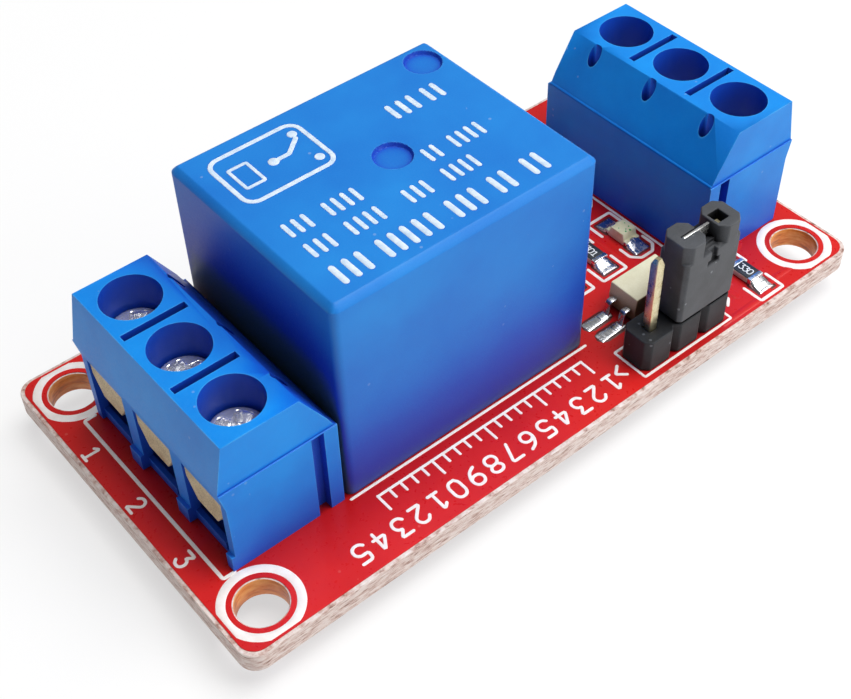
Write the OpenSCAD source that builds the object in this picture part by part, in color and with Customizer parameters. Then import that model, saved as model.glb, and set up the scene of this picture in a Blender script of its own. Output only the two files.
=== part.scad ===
// Relay module board: a sealed relay between an output and an input screw
// terminal block, with a three-pin header, its jumper and small chip parts.
// Millimetres. X runs along the board, the output block at -X. Z is up.
// The origin is the board's centre on its underside.

/* [Board] */
// Thickness of the board with its two colour coats
board_t = 1.6; // [1.2:0.1:2.2]
// Radius of the board's corners
board_corner_r = 1.2; // [0.4:0.1:2]
// Thickness of one colour coat
coat_t = 0.05; // [0.03:0.01:0.1]
// Bare strip between the coats and the board's edge
coat_inset = 0.25; // [0.1:0.05:0.4]
// Thickness of the white print
print_t = 0.03; // [0.02:0.01:0.06]
// Width of the print's lines
print_line = 0.25; // [0.15:0.05:0.3]
// Board left free in front of the output block
output_margin = 2.7; // [2:0.1:6]
// Board left free in front of the input block
input_margin = 1.55; // [1:0.05:6]
// Board left free beside each block
side_margin = 5.38; // [5.3:0.02:8]
// Bay for the small parts, between the relay and the input block
bay_l = 10.85; // [10:0.05:16]

/* [Mounting holes] */
// Diameter of the mounting holes
hole_d = 3.1; // [2.2:0.1:3.4]
// Hole centre to the board's end, and to its long edge
hole_inset = 2.75; // [2.5:0.05:3.2]
// Outer diameter of the printed ring round a hole
ring_d = 5.1; // [4.8:0.1:5.6]
// Width of the printed ring
ring_line = 0.6; // [0.3:0.1:0.8]

/* [Terminal blocks] */
// Distance between neighbouring poles
pole_pitch = 5.08; // [5:0.02:5.6]
// Height of a block
block_h = 10.2; // [9.8:0.1:13]
// Screw axis to the front wall
block_front = 2.8; // [2.7:0.05:3.2]
// How far the lip stands out of the front wall
block_lip = 0.3; // [0.1:0.05:0.6]
// Screw axis to the back wall
block_back = 4.75; // [4.6:0.05:5.2]
// Height of the lip, and of the ledge round the other sides
ledge_z = 6.8; // [6.5:0.1:7.4]
// Width of the ledge on the two ends
ledge_w = 0.12; // [0.05:0.01:0.2]
// Screw axis to the front edge of the flat top
top_front = 2.4; // [2.2:0.05:2.6]
// Screw axis to the back edge of the flat top
top_back = 2.6; // [2.4:0.05:2.8]
// Diameter of a screw hole
screw_hole_d = 3.7; // [3.6:0.05:4]
// Width of the slots between the screw holes
slot_w = 0.5; // [0.3:0.05:0.7]
// Length of those slots
slot_l = 4.2; // [3:0.1:4.6]
// Depth of those slots
slot_deep = 1.2; // [0.6:0.1:2]
// Diameter of the test holes in the sloping back
eye_d = 0.9; // [0.6:0.05:1]
// Depth of a test hole below the flat top
eye_deep = 3; // [2:0.1:3.4]
// Width of the groove in each end
groove_w = 0.85; // [0.5:0.05:1]
// Depth of the groove in each end
groove_deep = 0.6; // [0.3:0.05:0.8]
// Back wall to the middle of that groove
groove_from_back = 1.35; // [1:0.05:1.5]
// Width of a wire entry
entry_w = 3.9; // [3.6:0.05:4.1]
// Width of the pocket behind it, where the clamp slides
pocket_w = 4.2; // [4.2:0.05:4.4]
// Height of the sill under a wire entry
sill_h = 0.8; // [0.5:0.1:1.2]
// How far the sill lies behind the front wall
sill_back = 0.25; // [0.1:0.05:0.4]
// Thickness of the front wall
front_wall = 0.6; // [0.5:0.05:0.8]
// Width of the notch at one end of the sill
sill_notch = 0.8; // [0.4:0.05:1]
// Thickness of the floor under the clamps
floor_t = 0.3; // [0.2:0.05:0.5]
// How far the feet between the entries stand out at the board
foot_out = 0.25; // [0.1:0.05:0.4]
// Height of those feet
foot_h = 1.2; // [0.6:0.1:1.4]
// How far a foot reaches past the wall between two poles
foot_side = 0.4; // [0.2:0.05:0.6]
// Thickness of the shoulder that carries a screw's head
shoulder_t = 0.3; // [0.25:0.05:0.5]

/* [Clamps and screws] */
// Height of the underside of the contact bar above the board
bar_z = 2.4; // [2.1:0.05:2.7]
// Thickness of the contact bar's strip
bar_t = 0.6; // [0.5:0.05:0.8]
// How far the front tab laps down over the end of the bar
tab_lap = 0.2; // [0.15:0.05:0.4]
// Width of the cuts at the tab's lower corners
tab_cut_w = 0.9; // [0.5:0.05:1.1]
// Height of these cuts
tab_cut_h = 1.4; // [0.8:0.1:1.6]
// Thickness of a clamp's sides and floor
clamp_t = 0.5; // [0.4:0.05:0.5]
// Thickness of a clamp's threaded top
nut_t = 1; // [0.8:0.05:1.2]
// Free room left beside a sliding clamp
clamp_play = 0.05; // [0.03:0.01:0.08]
// Diameter of a screw's shank
screw_d = 2.9; // [2.5:0.05:2.9]
// Radial clearance between shank and thread
thread_play = 0.05; // [0.03:0.01:0.08]
// Diameter of a screw's head
head_d = 3.4; // [3.2:0.05:3.5]
// Height of a screw's head
head_h = 1.3; // [1.1:0.05:1.6]
// Width of the cross in a screw's head
cross_w = 0.6; // [0.4:0.05:0.8]
// Depth of the cross
cross_deep = 0.7; // [0.4:0.05:1]
// How far the output screws are backed out of the block
output_screw_lift = 0.7; // [0:0.05:1]
// How far a terminal's pin stands out under the board
terminal_pin_out = 1.9; // [1.5:0.1:3]
// Width of a terminal's pin
terminal_pin_w = 1; // [0.8:0.05:1.2]

/* [Relay] */
// Length of the relay
relay_l = 18.9; // [18.4:0.1:21]
// Width of the relay
relay_w = 15.4; // [15:0.1:17]
// Height of the relay
relay_h = 15.4; // [14.8:0.1:18]
// Gap between the output block and the relay
relay_gap = 0.3; // [0.2:0.05:1]
// Wall of the relay's cover
relay_wall = 0.8; // [0.6:0.05:1]
// Chamfer round the cover's top
relay_edge = 0.35; // [0.2:0.05:0.6]
// Radius of the cover's upright edges
relay_corner_r = 0.5; // [0.3:0.05:0.7]
// Thickness of the relay's base
base_t = 1.2; // [1:0.1:1.5]
// How far the base lies inside the cover
base_rise = 0.3; // [0.2:0.05:0.5]
// Diameter of the two shallow dimples in the cover
dimple_d = 2.3; // [1.6:0.1:2.6]
// Depth of the dimples
dimple_deep = 0.25; // [0.1:0.05:0.4]
// Width of the lines of the cover's marking
mark_line = 0.32; // [0.2:0.02:0.4]
// Distance between the strokes of the marking
mark_pitch = 0.64; // [0.6:0.02:0.7]
// End of the relay to its common pin
common_inset = 2.45; // [2.3:0.05:2.8]
// Common pin to the two coil pins, along the relay
coil_pin_back = 2; // [1.8:0.1:2.4]
// Other end of the relay to its two contact pins
contact_inset = 2.25; // [2:0.05:2.6]
// Side of the relay to its coil and contact pins
relay_pin_inset = 1.7; // [1.6:0.05:2]
// How far the solder under the board reaches round a lead's hole
joint_ring = 0.45; // [0.3:0.05:0.6]
// Height of that solder
joint_h = 0.9; // [0.6:0.05:1.2]
// How far the relay's pins stand out under the board
relay_pin_out = 1.7; // [1:0.1:2]
// Thickness of the relay's contact strips
strip_t = 0.4; // [0.3:0.05:0.5]
// Width of the relay's contact pins
contact_pin_w = 1; // [0.8:0.05:1.2]
// Side of the square coil pins
coil_pin = 0.6; // [0.5:0.05:0.7]

/* [Relay mechanism] */
// Thickness of the yoke
yoke_t = 1.2; // [1:0.05:1.4]
// Width of the yoke and the armature
yoke_w = 7; // [6:0.1:8]
// Diameter of the coil's core
core_d = 3.2; // [2.6:0.1:3.6]
// Diameter of the core's pole face
pole_d = 5.5; // [4.6:0.1:6]
// Thickness of the pole face
pole_t = 0.8; // [0.6:0.05:1]
// Diameter of the spool's flanges
flange_d = 9.6; // [9:0.1:10]
// Thickness of the spool's flanges
flange_t = 0.8; // [0.6:0.05:1]
// Wall of the spool's barrel
barrel_wall = 0.6; // [0.4:0.05:0.8]
// Diameter of the winding
winding_d = 8.6; // [7.6:0.1:9]
// Spool to the yoke's upright leg
spool_gap = 0.5; // [0.3:0.05:0.7]
// Thickness of the armature
armature_t = 1; // [0.8:0.05:1.2]
// Thickness of the contact spring
spring_t = 0.2; // [0.15:0.01:0.25]
// Width of the contact spring
spring_w = 3.6; // [3:0.1:4.4]
// Angle the armature turns through, in degrees
armature_tilt = 2.5; // [1.5:0.1:3]
// Diameter of the contacts
contact_d = 2.2; // [1.8:0.1:2.6]
// Thickness of each contact's head
contact_t = 0.4; // [0.3:0.05:0.5]
// Free height between the upper contact strip and the cover
relay_headroom = 0.6; // [0.4:0.05:0.9]
// Clearance where armature, yoke and contacts meet
meet_play = 0.05; // [0.03:0.01:0.08]

/* [Header and jumper] */
// Distance between neighbouring header pins
pin_pitch = 2.54; // [2.5:0.02:2.7]
// Side of the square header pins
pin_side = 0.64; // [0.5:0.02:0.7]
// Height of the header's plastic
header_h = 2.5; // [2:0.1:3]
// Width of the header's plastic
header_w = 2.4; // [2.2:0.05:2.6]
// Corner cut of each unit of the header
header_cut = 0.4; // [0.2:0.05:0.5]
// Relay to the header's middle, along the board
header_from_relay = 4.95; // [4.5:0.05:5.5]
// Board's long edge to the header's middle
header_inset = 2.1; // [1.9:0.05:2.4]
// Length of a pin above the plastic
pin_up = 5.8; // [5.6:0.1:6.4]
// Length of a pin under the board
pin_out = 1.4; // [1:0.1:2]
// Gap between the header and the jumper
jumper_gap = 0.2; // [0.1:0.05:0.4]
// Length of the jumper
jumper_l = 4.95; // [4.7:0.05:5]
// Width of the jumper
jumper_w = 2.4; // [2.3:0.05:2.6]
// Room between a pin's tip and the jumper's lid
pin_room = 0.15; // [0.1:0.05:0.3]
// Thickness of the lid over the jumper's first pin
lid_t = 0.35; // [0.3:0.05:0.5]
// Height of the two lobes above the shoulder
lobe_h = 1.3; // [0.8:0.1:1.5]
// Length of a lobe
lobe_l = 1.9; // [1.7:0.05:2]
// Corner cut of a lobe
lobe_cut = 0.5; // [0.3:0.05:0.6]
// Wall of the jumper
jumper_wall = 0.4; // [0.35:0.05:0.5]
// Thickness of the jumper's metal clip
clip_t = 0.2; // [0.15:0.01:0.25]
// Clearance between a pin and the clip
clip_play = 0.08; // [0.05:0.01:0.1]
// Length of the clip's upright web between the pins
web_l = 1.2; // [1:0.05:1.3]
// Clearance between the first pin and that web
web_gap = 0.2; // [0.15:0.05:0.3]
// How far the strip on the web reaches past the first pin's middle
strip_reach = 0.5; // [0.3:0.05:0.6]
// How far the jumper can be lifted off its pins
jumper_travel = 7; // [6.5:0.5:9]

/* [Chip parts] */
// Length of a chip
chip_l = 2; // [1.8:0.05:2.2]
// Width of a chip
chip_w = 1.25; // [1.1:0.05:1.4]
// Thickness of a chip resistor
chip_t = 0.5; // [0.4:0.05:0.6]
// Length of a chip's metal end
chip_end = 0.35; // [0.25:0.05:0.45]
// How far a solder pad reaches past the chip
pad_out = 0.95; // [0.7:0.05:1]
// Distance between neighbouring columns of chips
chip_pitch = 3.05; // [2.8:0.05:3.1]
// Input block to the last column of chips
chip_back = 1.65; // [1.4:0.05:1.9]
// Optocoupler to the first row of chips
chip_row_gap = 4.15; // [3.9:0.05:4.4]
// Distance between the two rows of chips
chip_row_pitch = 6; // [5.6:0.1:6.4]
// Length of the printed frame round a chip
frame_l = 5; // [4.8:0.05:5.4]
// Width of the printed frame round a chip
frame_w = 2.4; // [2.2:0.05:2.6]
// Height of a light-emitting diode's base
led_base_t = 0.4; // [0.3:0.05:0.5]
// Height of its lens
led_lens_t = 0.5; // [0.4:0.05:0.7]
// Length of the optocoupler's body
opto_l = 4.3; // [4:0.05:4.4]
// Width of the optocoupler's body
opto_w = 2.4; // [2.2:0.05:2.6]
// Height of the optocoupler's body
opto_h = 2; // [1.7:0.05:2.2]
// Gap under its body
opto_lift = 0.15; // [0.1:0.05:0.2]
// Width of its leads
opto_lead_w = 0.45; // [0.35:0.05:0.5]
// Thickness of the leads of the optocoupler and the transistor
lead_t = 0.15; // [0.1:0.01:0.16]
// Distance between its neighbouring leads
opto_pitch = 1.27; // [1.2:0.01:1.3]
// How far a lead reaches out of the body
opto_reach = 1.3; // [1.1:0.05:1.5]
// Header to the optocoupler's body
opto_gap = 1.1; // [1:0.05:1.4]
// Length of the transistor's body
transistor_l = 2.9; // [2.7:0.05:3]
// Width of the transistor's body
transistor_w = 1.3; // [1.2:0.05:1.4]
// Height of the transistor's body
transistor_h = 1; // [0.9:0.05:1.1]
// Gap under the transistor's body
transistor_lift = 0.1; // [0.05:0.05:0.15]
// Width of the transistor's leads
transistor_lead_w = 0.4; // [0.3:0.05:0.5]
// Length of the flyback diode's body
diode_l = 3.5; // [3.3:0.05:3.7]
// Diameter of the flyback diode's body
diode_d = 1.5; // [1.4:0.05:1.7]
// Long edge of the board to the transistor and diode
back_row_inset = 3.4; // [3.2:0.05:4]

/* [Hidden] */
$fn = 48;

poles = 3;
header_poles = 3;
skin = 0.01;

// Along the board, from the output end to the input end
block_len = block_lip + block_front + block_back;
board_l = output_margin + block_len + relay_gap + relay_l + bay_l
    + block_len + input_margin;
board_w = poles * pole_pitch + 2 * side_margin;
output_x = -board_l / 2 + output_margin + block_lip + block_front;
relay_x = output_x + block_back + relay_gap + relay_l / 2;
bay_x = relay_x + relay_l / 2;
input_x = board_l / 2 - input_margin - block_lip - block_front;
block_w = poles * pole_pitch;
hole_x = board_l / 2 - hole_inset;
hole_y = board_w / 2 - hole_inset;

// Clamps and screws, above the board's top
clamp_w = pocket_w - 2 * clamp_play;
clamp_front = -block_front + front_wall + 0.1;
clamp_back = 1.95;
clamp_z = bar_z - clamp_play - clamp_t;
clamp_travel = clamp_z - floor_t - 0.1;
nut_z = bar_z + bar_t + clamp_travel + clamp_play;
clamp_top = nut_z + nut_t;
pocket_top = clamp_top + clamp_play;
entry_top = pocket_top - 0.2;
pocket_back = clamp_back + 0.2 + bar_t + 0.15;
seat_z = pocket_top + shoulder_t;
tip_z = bar_z + bar_t + 0.05;
shank_room = 0.1;
seat_play = 0.02;
leg_x = clamp_back + 0.15;
tab_front = -block_front + 0.12;

// Relay, from its own centre and the board's top
common_x = relay_l / 2 - common_inset;
relay_pin_y = relay_w / 2 - relay_pin_inset;
coil_pin_x = common_x - coil_pin_back;
contact_pin_x = -relay_l / 2 + contact_inset;
contact_x = contact_pin_x + 0.9;
pivot_x = common_x + yoke_t / 2;
spool_x = common_x - yoke_t / 2 - spool_gap - flange_d / 2;
base_top = base_rise + base_t;
ceiling = relay_h - relay_wall;
upper_strip = ceiling - relay_headroom - strip_t;
upper_face = upper_strip - contact_t;
contact_rise = (pivot_x - contact_x + contact_d / 2) * sin(armature_tilt);
spring_top = upper_face - meet_play - contact_rise - contact_t;
armature_top = spring_top - spring_t;
pivot_z = armature_top - armature_t;
yoke_top = pivot_z - meet_play;
spool_z = base_top + yoke_t;
spool_h = yoke_top - pole_t - spool_z;
lower_face = armature_top - contact_t - meet_play;
lower_strip = lower_face - contact_t - strip_t;
arm_l = contact_x - contact_pin_x + contact_d / 2 + strip_t / 2;

// Header and jumper
header_x = bay_x + header_from_relay;
header_y = -board_w / 2 + header_inset;
jumper_x = header_x + pin_pitch / 2;
jumper_z = board_t + header_h + jumper_gap;
clip_out = pin_side / 2 + clip_play + clip_t;
tip_up = pin_up - jumper_gap;
jumper_top = tip_up + pin_room + lid_t;
jumper_h = jumper_top - lobe_h;
clip_top = jumper_h - 0.6;
web_x = -pin_pitch / 2 + pin_side / 2 + web_gap;
strip_x = -pin_pitch / 2 - strip_reach;

// Chip parts
opto_x = header_x + 0.85;
opto_y = header_y + header_w / 2 + opto_gap + opto_w / 2;
row_y = [opto_y + opto_w / 2 + chip_row_gap, opto_y + opto_w / 2 + chip_row_gap + chip_row_pitch];
function column_x(i) = bay_x + bay_l - chip_back - (3 - i) * chip_pitch;
back_row_y = board_w / 2 - back_row_inset;
side_chip = [hole_x - 4.8, -board_w / 2 + 2.9];
resistors = [
    [column_x(2), row_y[0]], [column_x(1), row_y[0]], [column_x(2), row_y[1]],
    [column_x(1), row_y[1]], side_chip
];
leds = [[column_x(3), row_y[0]], [column_x(3), row_y[1]]];
transistor_x = column_x(1);
diode_x = column_x(3) - 1.4;
diode_end = diode_l / 2 - 0.35;

// Every lead that goes through the board: [x, y, width in x, width in y, length below]
function pole_y(i) = (2 - i) * pole_pitch;
function foot_w(i) = foot_side + (i < poles ? 1 : 0.5) * (pole_pitch - entry_w);
function pin_x(i) = header_x + (i - 2) * pin_pitch;
terminal_leads = [
    for (i = [1:poles]) [output_x + leg_x + bar_t / 2, pole_y(i), bar_t, terminal_pin_w, terminal_pin_out],
    for (i = [1:poles]) [input_x - leg_x - bar_t / 2, -pole_y(i), bar_t, terminal_pin_w, terminal_pin_out]
];
relay_leads = [
    [relay_x + common_x, 0, strip_t, contact_pin_w, relay_pin_out],
    for (s = [-1, 1]) [relay_x + coil_pin_x, s * relay_pin_y, coil_pin, coil_pin, relay_pin_out],
    for (s = [-1, 1]) [relay_x + contact_pin_x, s * relay_pin_y, strip_t, contact_pin_w, relay_pin_out]
];
header_leads = [for (i = [1:header_poles]) [pin_x(i), header_y, pin_side, pin_side, pin_out]];
leads = concat(terminal_leads, relay_leads, header_leads);
lead_play = 0.15;
function lead_hole_r(l) = norm([l[2], l[3]]) / 2 + lead_play;
function joint_r(l) = lead_hole_r(l) + joint_ring;

// ---- shared shapes ----

// Rectangle round the origin
module plate(l, w) { square([l, w], center = true); }

// Box that stands on z0, centred on x and y
module block(l, w, z0, z1) { translate([-l / 2, -w / 2, z0]) cube([l, w, z1 - z0]); }

// Rectangle with round corners
module round_plate(l, w, r) {
    plate(l - 2 * r, w);
    plate(l, w - 2 * r);
    for (x = [-1, 1], y = [-1, 1]) translate([x * (l / 2 - r), y * (w / 2 - r)]) circle(r);
}

// Rectangle with cut corners
module cut_plate(l, w, c) {
    polygon([
        [-l / 2 + c, -w / 2], [l / 2 - c, -w / 2], [l / 2, -w / 2 + c], [l / 2, w / 2 - c],
        [l / 2 - c, w / 2], [-l / 2 + c, w / 2], [-l / 2, w / 2 - c], [-l / 2, -w / 2 + c]
    ]);
}

// Outline in X and Z, drawn out along Y and centred on it
module side_shape(w) { rotate([90, 0, 0]) translate([0, 0, -w / 2]) linear_extrude(w) children(); }

// Printed line from a to b
module stroke(a, b, w = print_line) {
    translate(a) rotate(atan2(b.y - a.y, b.x - a.x)) translate([-w / 2, -w / 2])
        square([norm(b - a) + w, w]);
}

// Printed line through several points
module path(pts, w = print_line) {
    for (i = [0:len(pts) - 2]) stroke(pts[i], pts[i + 1], w);
}

// Plain figure of height h, from seven straight strokes
segments = [
    [[0, 1], [1, 1]], [[1, 1], [1, 0.5]], [[1, 0.5], [1, 0]], [[0, 0], [1, 0]],
    [[0, 0], [0, 0.5]], [[0, 0.5], [0, 1]], [[0, 0.5], [1, 0.5]]
];
figures = [
    [0, 1, 2, 3, 4, 5], [1, 2], [0, 1, 6, 4, 3], [0, 1, 6, 2, 3], [5, 6, 1, 2],
    [0, 5, 6, 2, 3], [0, 5, 6, 4, 3, 2], [0, 1, 2], [0, 1, 2, 3, 4, 5, 6], [0, 1, 2, 3, 5, 6]
];
module figure(n, h, w = print_line) {
    for (k = figures[n]) let (s = segments[k])
        stroke([(s[0].x - 0.5) * h * 0.55, (s[0].y - 0.5) * h], [(s[1].x - 0.5) * h * 0.55, (s[1].y - 0.5) * h], w);
}

// Row of upright strokes in groups, w wide and h high
module tally(groups, h, w, pitch) {
    for (g = groups) for (k = [0:g[1] - 1]) translate([g[0] + k * pitch, 0]) plate(w, h);
}

// Frames the parts stand in
module at_output() { translate([output_x, 0, board_t]) children(); }
module at_input() { translate([input_x, 0, board_t]) rotate(180) children(); }
module at_relay() { translate([relay_x, 0, board_t]) children(); }

// ---- board ----

module board_outline(inset = 0) {
    round_plate(board_l - 2 * inset, board_w - 2 * inset, board_corner_r - inset * 0.5);
}

module at_holes() {
    for (x = [-1, 1], y = [-1, 1]) translate([x * hole_x, y * hole_y]) children();
}

module circuit_board() {
    color("#e3d3b8") difference() {
        translate([0, 0, coat_t]) linear_extrude(board_t - 2 * coat_t) board_outline();
        at_holes() cylinder(h = board_t + 1, d = hole_d);
        for (l = leads) translate([l.x, l.y, -0.5]) cylinder(h = board_t + 1, r = lead_hole_r(l));
    }
}

module colour_coat() {
    color("#d8202a") difference() {
        for (z = [0, board_t - coat_t]) translate([0, 0, z]) linear_extrude(coat_t) board_outline(coat_inset);
        at_holes() translate([0, 0, -0.5]) cylinder(h = board_t + 1, d = hole_d + 0.2);
        for (l = leads) translate([l.x, l.y, -0.5]) cylinder(h = board_t + 1, r = lead_hole_r(l) + 0.05);
    }
}

// Printed frame round a chip, with a gap in its long sides
module chip_frame(cut) {
    l = frame_w - print_line;
    w = frame_l - print_line;
    for (s = [-1, 1]) {
        path([[s * l / 2, 0.9], [s * l / 2, w / 2], [0, w / 2]]);
        path([[s * l / 2, -0.9], [s * l / 2, -w / 2 + cut], [s * (l / 2 - cut), -w / 2], [0, -w / 2]]);
    }
}

// Row of ticks, each fifth one long
module ruler(n, pitch, h) {
    for (k = [0:n - 1]) let (t = k % 5 == 0 ? h : h * 0.55)
        translate([k * pitch, -h / 2]) stroke([0, 0], [0, t], print_line * 0.8);
    stroke([0, -h / 2], [(n - 1) * pitch, -h / 2], print_line * 0.8);
}

module print_shapes() {
    intersection() {
        board_outline(coat_inset);
        at_holes() difference() {
            circle(d = ring_d);
            circle(d = ring_d - 2 * ring_line);
        }
    }
    // Outline in front of the output block, and pole figures
    out = output_x - block_front - block_lip - 0.7;
    path([[output_x - block_front, block_w / 2], [out, block_w / 2], [out, -block_w / 2],
        [output_x - block_front, -block_w / 2]]);
    for (i = [1:poles]) translate([out - 1, pole_y(i)]) rotate(-90) figure(i, 1.25);
    // Outline behind the input block
    stroke([input_x - block_back - 0.3, -block_w / 2], [input_x - block_back - 0.3, block_w / 2], 0.18);
    // Relay outline, ruler and figures along the near edge
    stroke([relay_x - relay_l / 2, -relay_w / 2 - 0.14], [relay_x + relay_l / 2, -relay_w / 2 - 0.14], 0.18);
    translate([relay_x + relay_l / 2 - 1.2, -relay_w / 2 - 1.65]) rotate(180) ruler(21, 0.82, 1.3);
    for (i = [1:9]) translate([relay_x + relay_l / 2 + 0.5 - i * 1.42, -relay_w / 2 - 3.75])
        rotate(180) figure(i, 1.15, print_line * 0.9);
    // Header outline, arrows for its two settings
    translate([header_x, header_y]) difference() {
        plate(header_poles * pin_pitch + 0.25, header_w + 0.4);
        plate(header_poles * pin_pitch - 0.15, header_w);
    }
    for (s = [-1, 1]) translate([header_x + s * (header_poles * pin_pitch / 2 + 1), header_y]) rotate(s * 90)
        path([[-0.45, -0.3], [0, 0.3], [0.45, -0.3]]);
    // Chip frames
    for (p = resistors) translate(p) chip_frame(0);
    for (p = leds) translate(p) chip_frame(0.55);
    // Frames of the transistor and the diode
    translate([transistor_x, back_row_y]) for (s = [-1, 1]) stroke([s * 1.9, -0.8], [s * 1.9, 0.8]);
    translate([diode_x, back_row_y]) for (s = [-1, 1]) stroke([-1.6, s * 1.3], [1.6, s * 1.3]);
}

// Ground that stands on the board and takes no print
module covered_ground() {
    translate([output_x - block_front - block_lip, -block_w / 2]) square([block_len, block_w]);
    translate([input_x - block_back, -block_w / 2]) square([block_len, block_w]);
    translate([relay_x, 0]) plate(relay_l, relay_w);
    translate([header_x, header_y]) plate(header_poles * pin_pitch, header_w);
}

module white_print() {
    color("white") translate([0, 0, board_t]) linear_extrude(print_t) intersection() {
        difference() {
            print_shapes();
            covered_ground();
            for (l = leads) translate([l.x, l.y]) circle(joint_r(l));
        }
        board_outline(coat_inset);
    }
}

// Solder at one end of a chip: a pad with a fillet that climbs to the metal end
module end_solder(w, out, rise) {
    side_shape(w) polygon([
        [0, print_t], [0, rise], [out * 0.35, rise * 0.35], [out, print_t * 2], [out, 0], [0, 0]
    ]);
}

module chip_ends(l, w, out, rise) {
    for (s = [90, -90]) rotate(s) translate([l / 2, 0]) end_solder(w, out, rise);
}

module chip_solder() {
    color("silver") translate([0, 0, board_t]) {
        for (p = concat(resistors, leds)) translate(p) chip_ends(chip_l, chip_w, pad_out, chip_t * 0.7);
        for (s = [0, 180], y = [-1, 1]) translate([opto_x, opto_y]) rotate(s)
            translate([opto_l / 2 + opto_reach, y * opto_pitch / 2]) end_solder(0.75, 1.35, 0.2);
        for (p = transistor_feet()) translate([transistor_x + p.x, back_row_y + p.y]) rotate(p.z)
            end_solder(0.7, 0.6, 0.2);
        translate([diode_x, back_row_y]) for (s = [0, 180]) rotate(s) translate([diode_l / 2, 0])
            end_solder(diode_d, 0.7, diode_d / 2);
    }
}

// Solder round each lead under the board
module pin_solder() {
    color("silver") for (l = leads) translate([l.x, l.y, 0]) difference() {
        mirror([0, 0, 1]) cylinder(h = joint_h, r1 = joint_r(l), r2 = norm([l[2], l[3]]) / 2 + lead_play / 2);
        block(l[2], l[3], -2, 1);
    }
}

// ---- relay ----

// Box with round upright edges and a cut along its top edges
module relay_hull_shape() {
    c = relay_edge;
    intersection() {
        linear_extrude(relay_h) round_plate(relay_l, relay_w, relay_corner_r);
        side_shape(relay_w + 1) polygon([
            [-relay_l / 2, 0], [relay_l / 2, 0], [relay_l / 2, relay_h - c],
            [relay_l / 2 - c, relay_h], [-relay_l / 2 + c, relay_h], [-relay_l / 2, relay_h - c]
        ]);
        rotate(90) side_shape(relay_l + 1) polygon([
            [-relay_w / 2, 0], [relay_w / 2, 0], [relay_w / 2, relay_h - c],
            [relay_w / 2 - c, relay_h], [-relay_w / 2 + c, relay_h], [-relay_w / 2, relay_h - c]
        ]);
    }
}

dimples = [[0.7, 0], [relay_l / 2 - 1.75, relay_w / 2 - 1.9]];

module relay_cover() {
    color("#2a6fc0") at_relay() difference() {
        relay_hull_shape();
        block(relay_l - 2 * relay_wall, relay_w - 2 * relay_wall, -1, ceiling);
        for (p = dimples) translate([p.x, p.y, relay_h - dimple_deep]) cylinder(h = 1, d = dimple_d);
    }
}

// Generic diagram of a coil and a changeover contact, and rows of grouped strokes
module marking_shapes() {
    w = mark_line;
    p = mark_pitch;
    left = -relay_l / 2 + 3 * p;
    near = -relay_w / 2 + 3 * p;
    translate([left + 4.2 * p, relay_w / 2 - 5.8 * p]) {
        difference() {
            round_plate(10 * p, 7.5 * p, 1.2 * p);
            round_plate(10 * p - 2 * w, 7.5 * p - 2 * w, 1.2 * p - w);
        }
        translate([-2.7 * p, 0]) difference() {
            plate(2.3 * p, 3.4 * p);
            plate(2.3 * p - 1.5 * w, 3.4 * p - 1.5 * w);
        }
        path([[0.3 * p, 0], [1.9 * p, 0], [3.6 * p, 1.4 * p]], w);
        for (s = [-1, 1]) translate([3.7 * p, s * 2.1 * p]) circle(d = p);
        translate([0.2 * p, 0]) circle(d = 1.1 * p);
    }
    translate([5 * p, relay_w / 2 - 7.2 * p]) tally([[0, 3], [4.1 * p, 2]], 2.3 * p, 1.2 * w, 1.2 * p);
    translate([left, near + 7 * p]) tally([[0, 3], [4.2 * p, 4], [14.2 * p, 2], [17.2 * p, 4]], 2 * p, w, p);
    translate([left, near + 3.8 * p]) tally([[0, 3], [4.2 * p, 4], [10.4 * p, 3], [14.8 * p, 4]], 2 * p, w, p);
    translate([left, near]) tally([[0, 3], [4.8 * p, 5], [12.3 * p, 3], [17.1 * p, 2], [20.9 * p, 2]], 2.6 * p, 1.3 * w, 1.3 * p);
}

module relay_marking() {
    color("white") at_relay() translate([0, 0, relay_h]) linear_extrude(print_t) difference() {
        marking_shapes();
        for (p = dimples) translate(p) circle(d = dimple_d + 0.3);
    }
}

module relay_base() {
    color("#1c2a4a") at_relay() difference() {
        block(relay_l - 2 * relay_wall, relay_w - 2 * relay_wall, base_rise, base_top);
        for (l = relay_leads) translate([l.x - relay_x, l.y, 0]) block(l[2] + 0.06, l[3] + 0.06, 0, base_top + 1);
    }
}

module relay_spool() {
    bore = core_d + 0.1;
    foot_l = 2 * (common_x - yoke_t / 2 - spool_gap - coil_pin_x);
    color("ivory") at_relay() translate([spool_x, 0, spool_z]) difference() {
        union() {
            for (z = [0, spool_h - flange_t]) translate([0, 0, z]) cylinder(h = flange_t, d = flange_d);
            cylinder(h = spool_h, d = bore + 2 * barrel_wall);
            // Foot that carries the coil pins
            translate([coil_pin_x - spool_x, 0, 0]) block(foot_l, 2 * relay_pin_y + 2 * coil_pin, 0, flange_t);
        }
        translate([0, 0, -1]) cylinder(h = spool_h + 2, d = bore);
        for (s = [-1, 1]) translate([coil_pin_x - spool_x, s * relay_pin_y, 0])
            block(coil_pin + 2 * skin, coil_pin + 2 * skin, -1, flange_t + 1);
    }
}

module relay_winding() {
    color("#b5652a") at_relay() translate([spool_x, 0, spool_z + flange_t + skin]) difference() {
        cylinder(h = spool_h - 2 * flange_t - 2 * skin, d = winding_d);
        translate([0, 0, -1]) cylinder(h = spool_h + 2, d = core_d + 0.1 + 2 * barrel_wall + 2 * skin);
    }
}

module relay_core() {
    color("gray") at_relay() translate([spool_x, 0, 0]) {
        translate([0, 0, base_top]) cylinder(h = spool_z + spool_h - base_top, d = core_d);
        translate([0, 0, spool_z + spool_h]) cylinder(h = pole_t, d = pole_d);
    }
}

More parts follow.
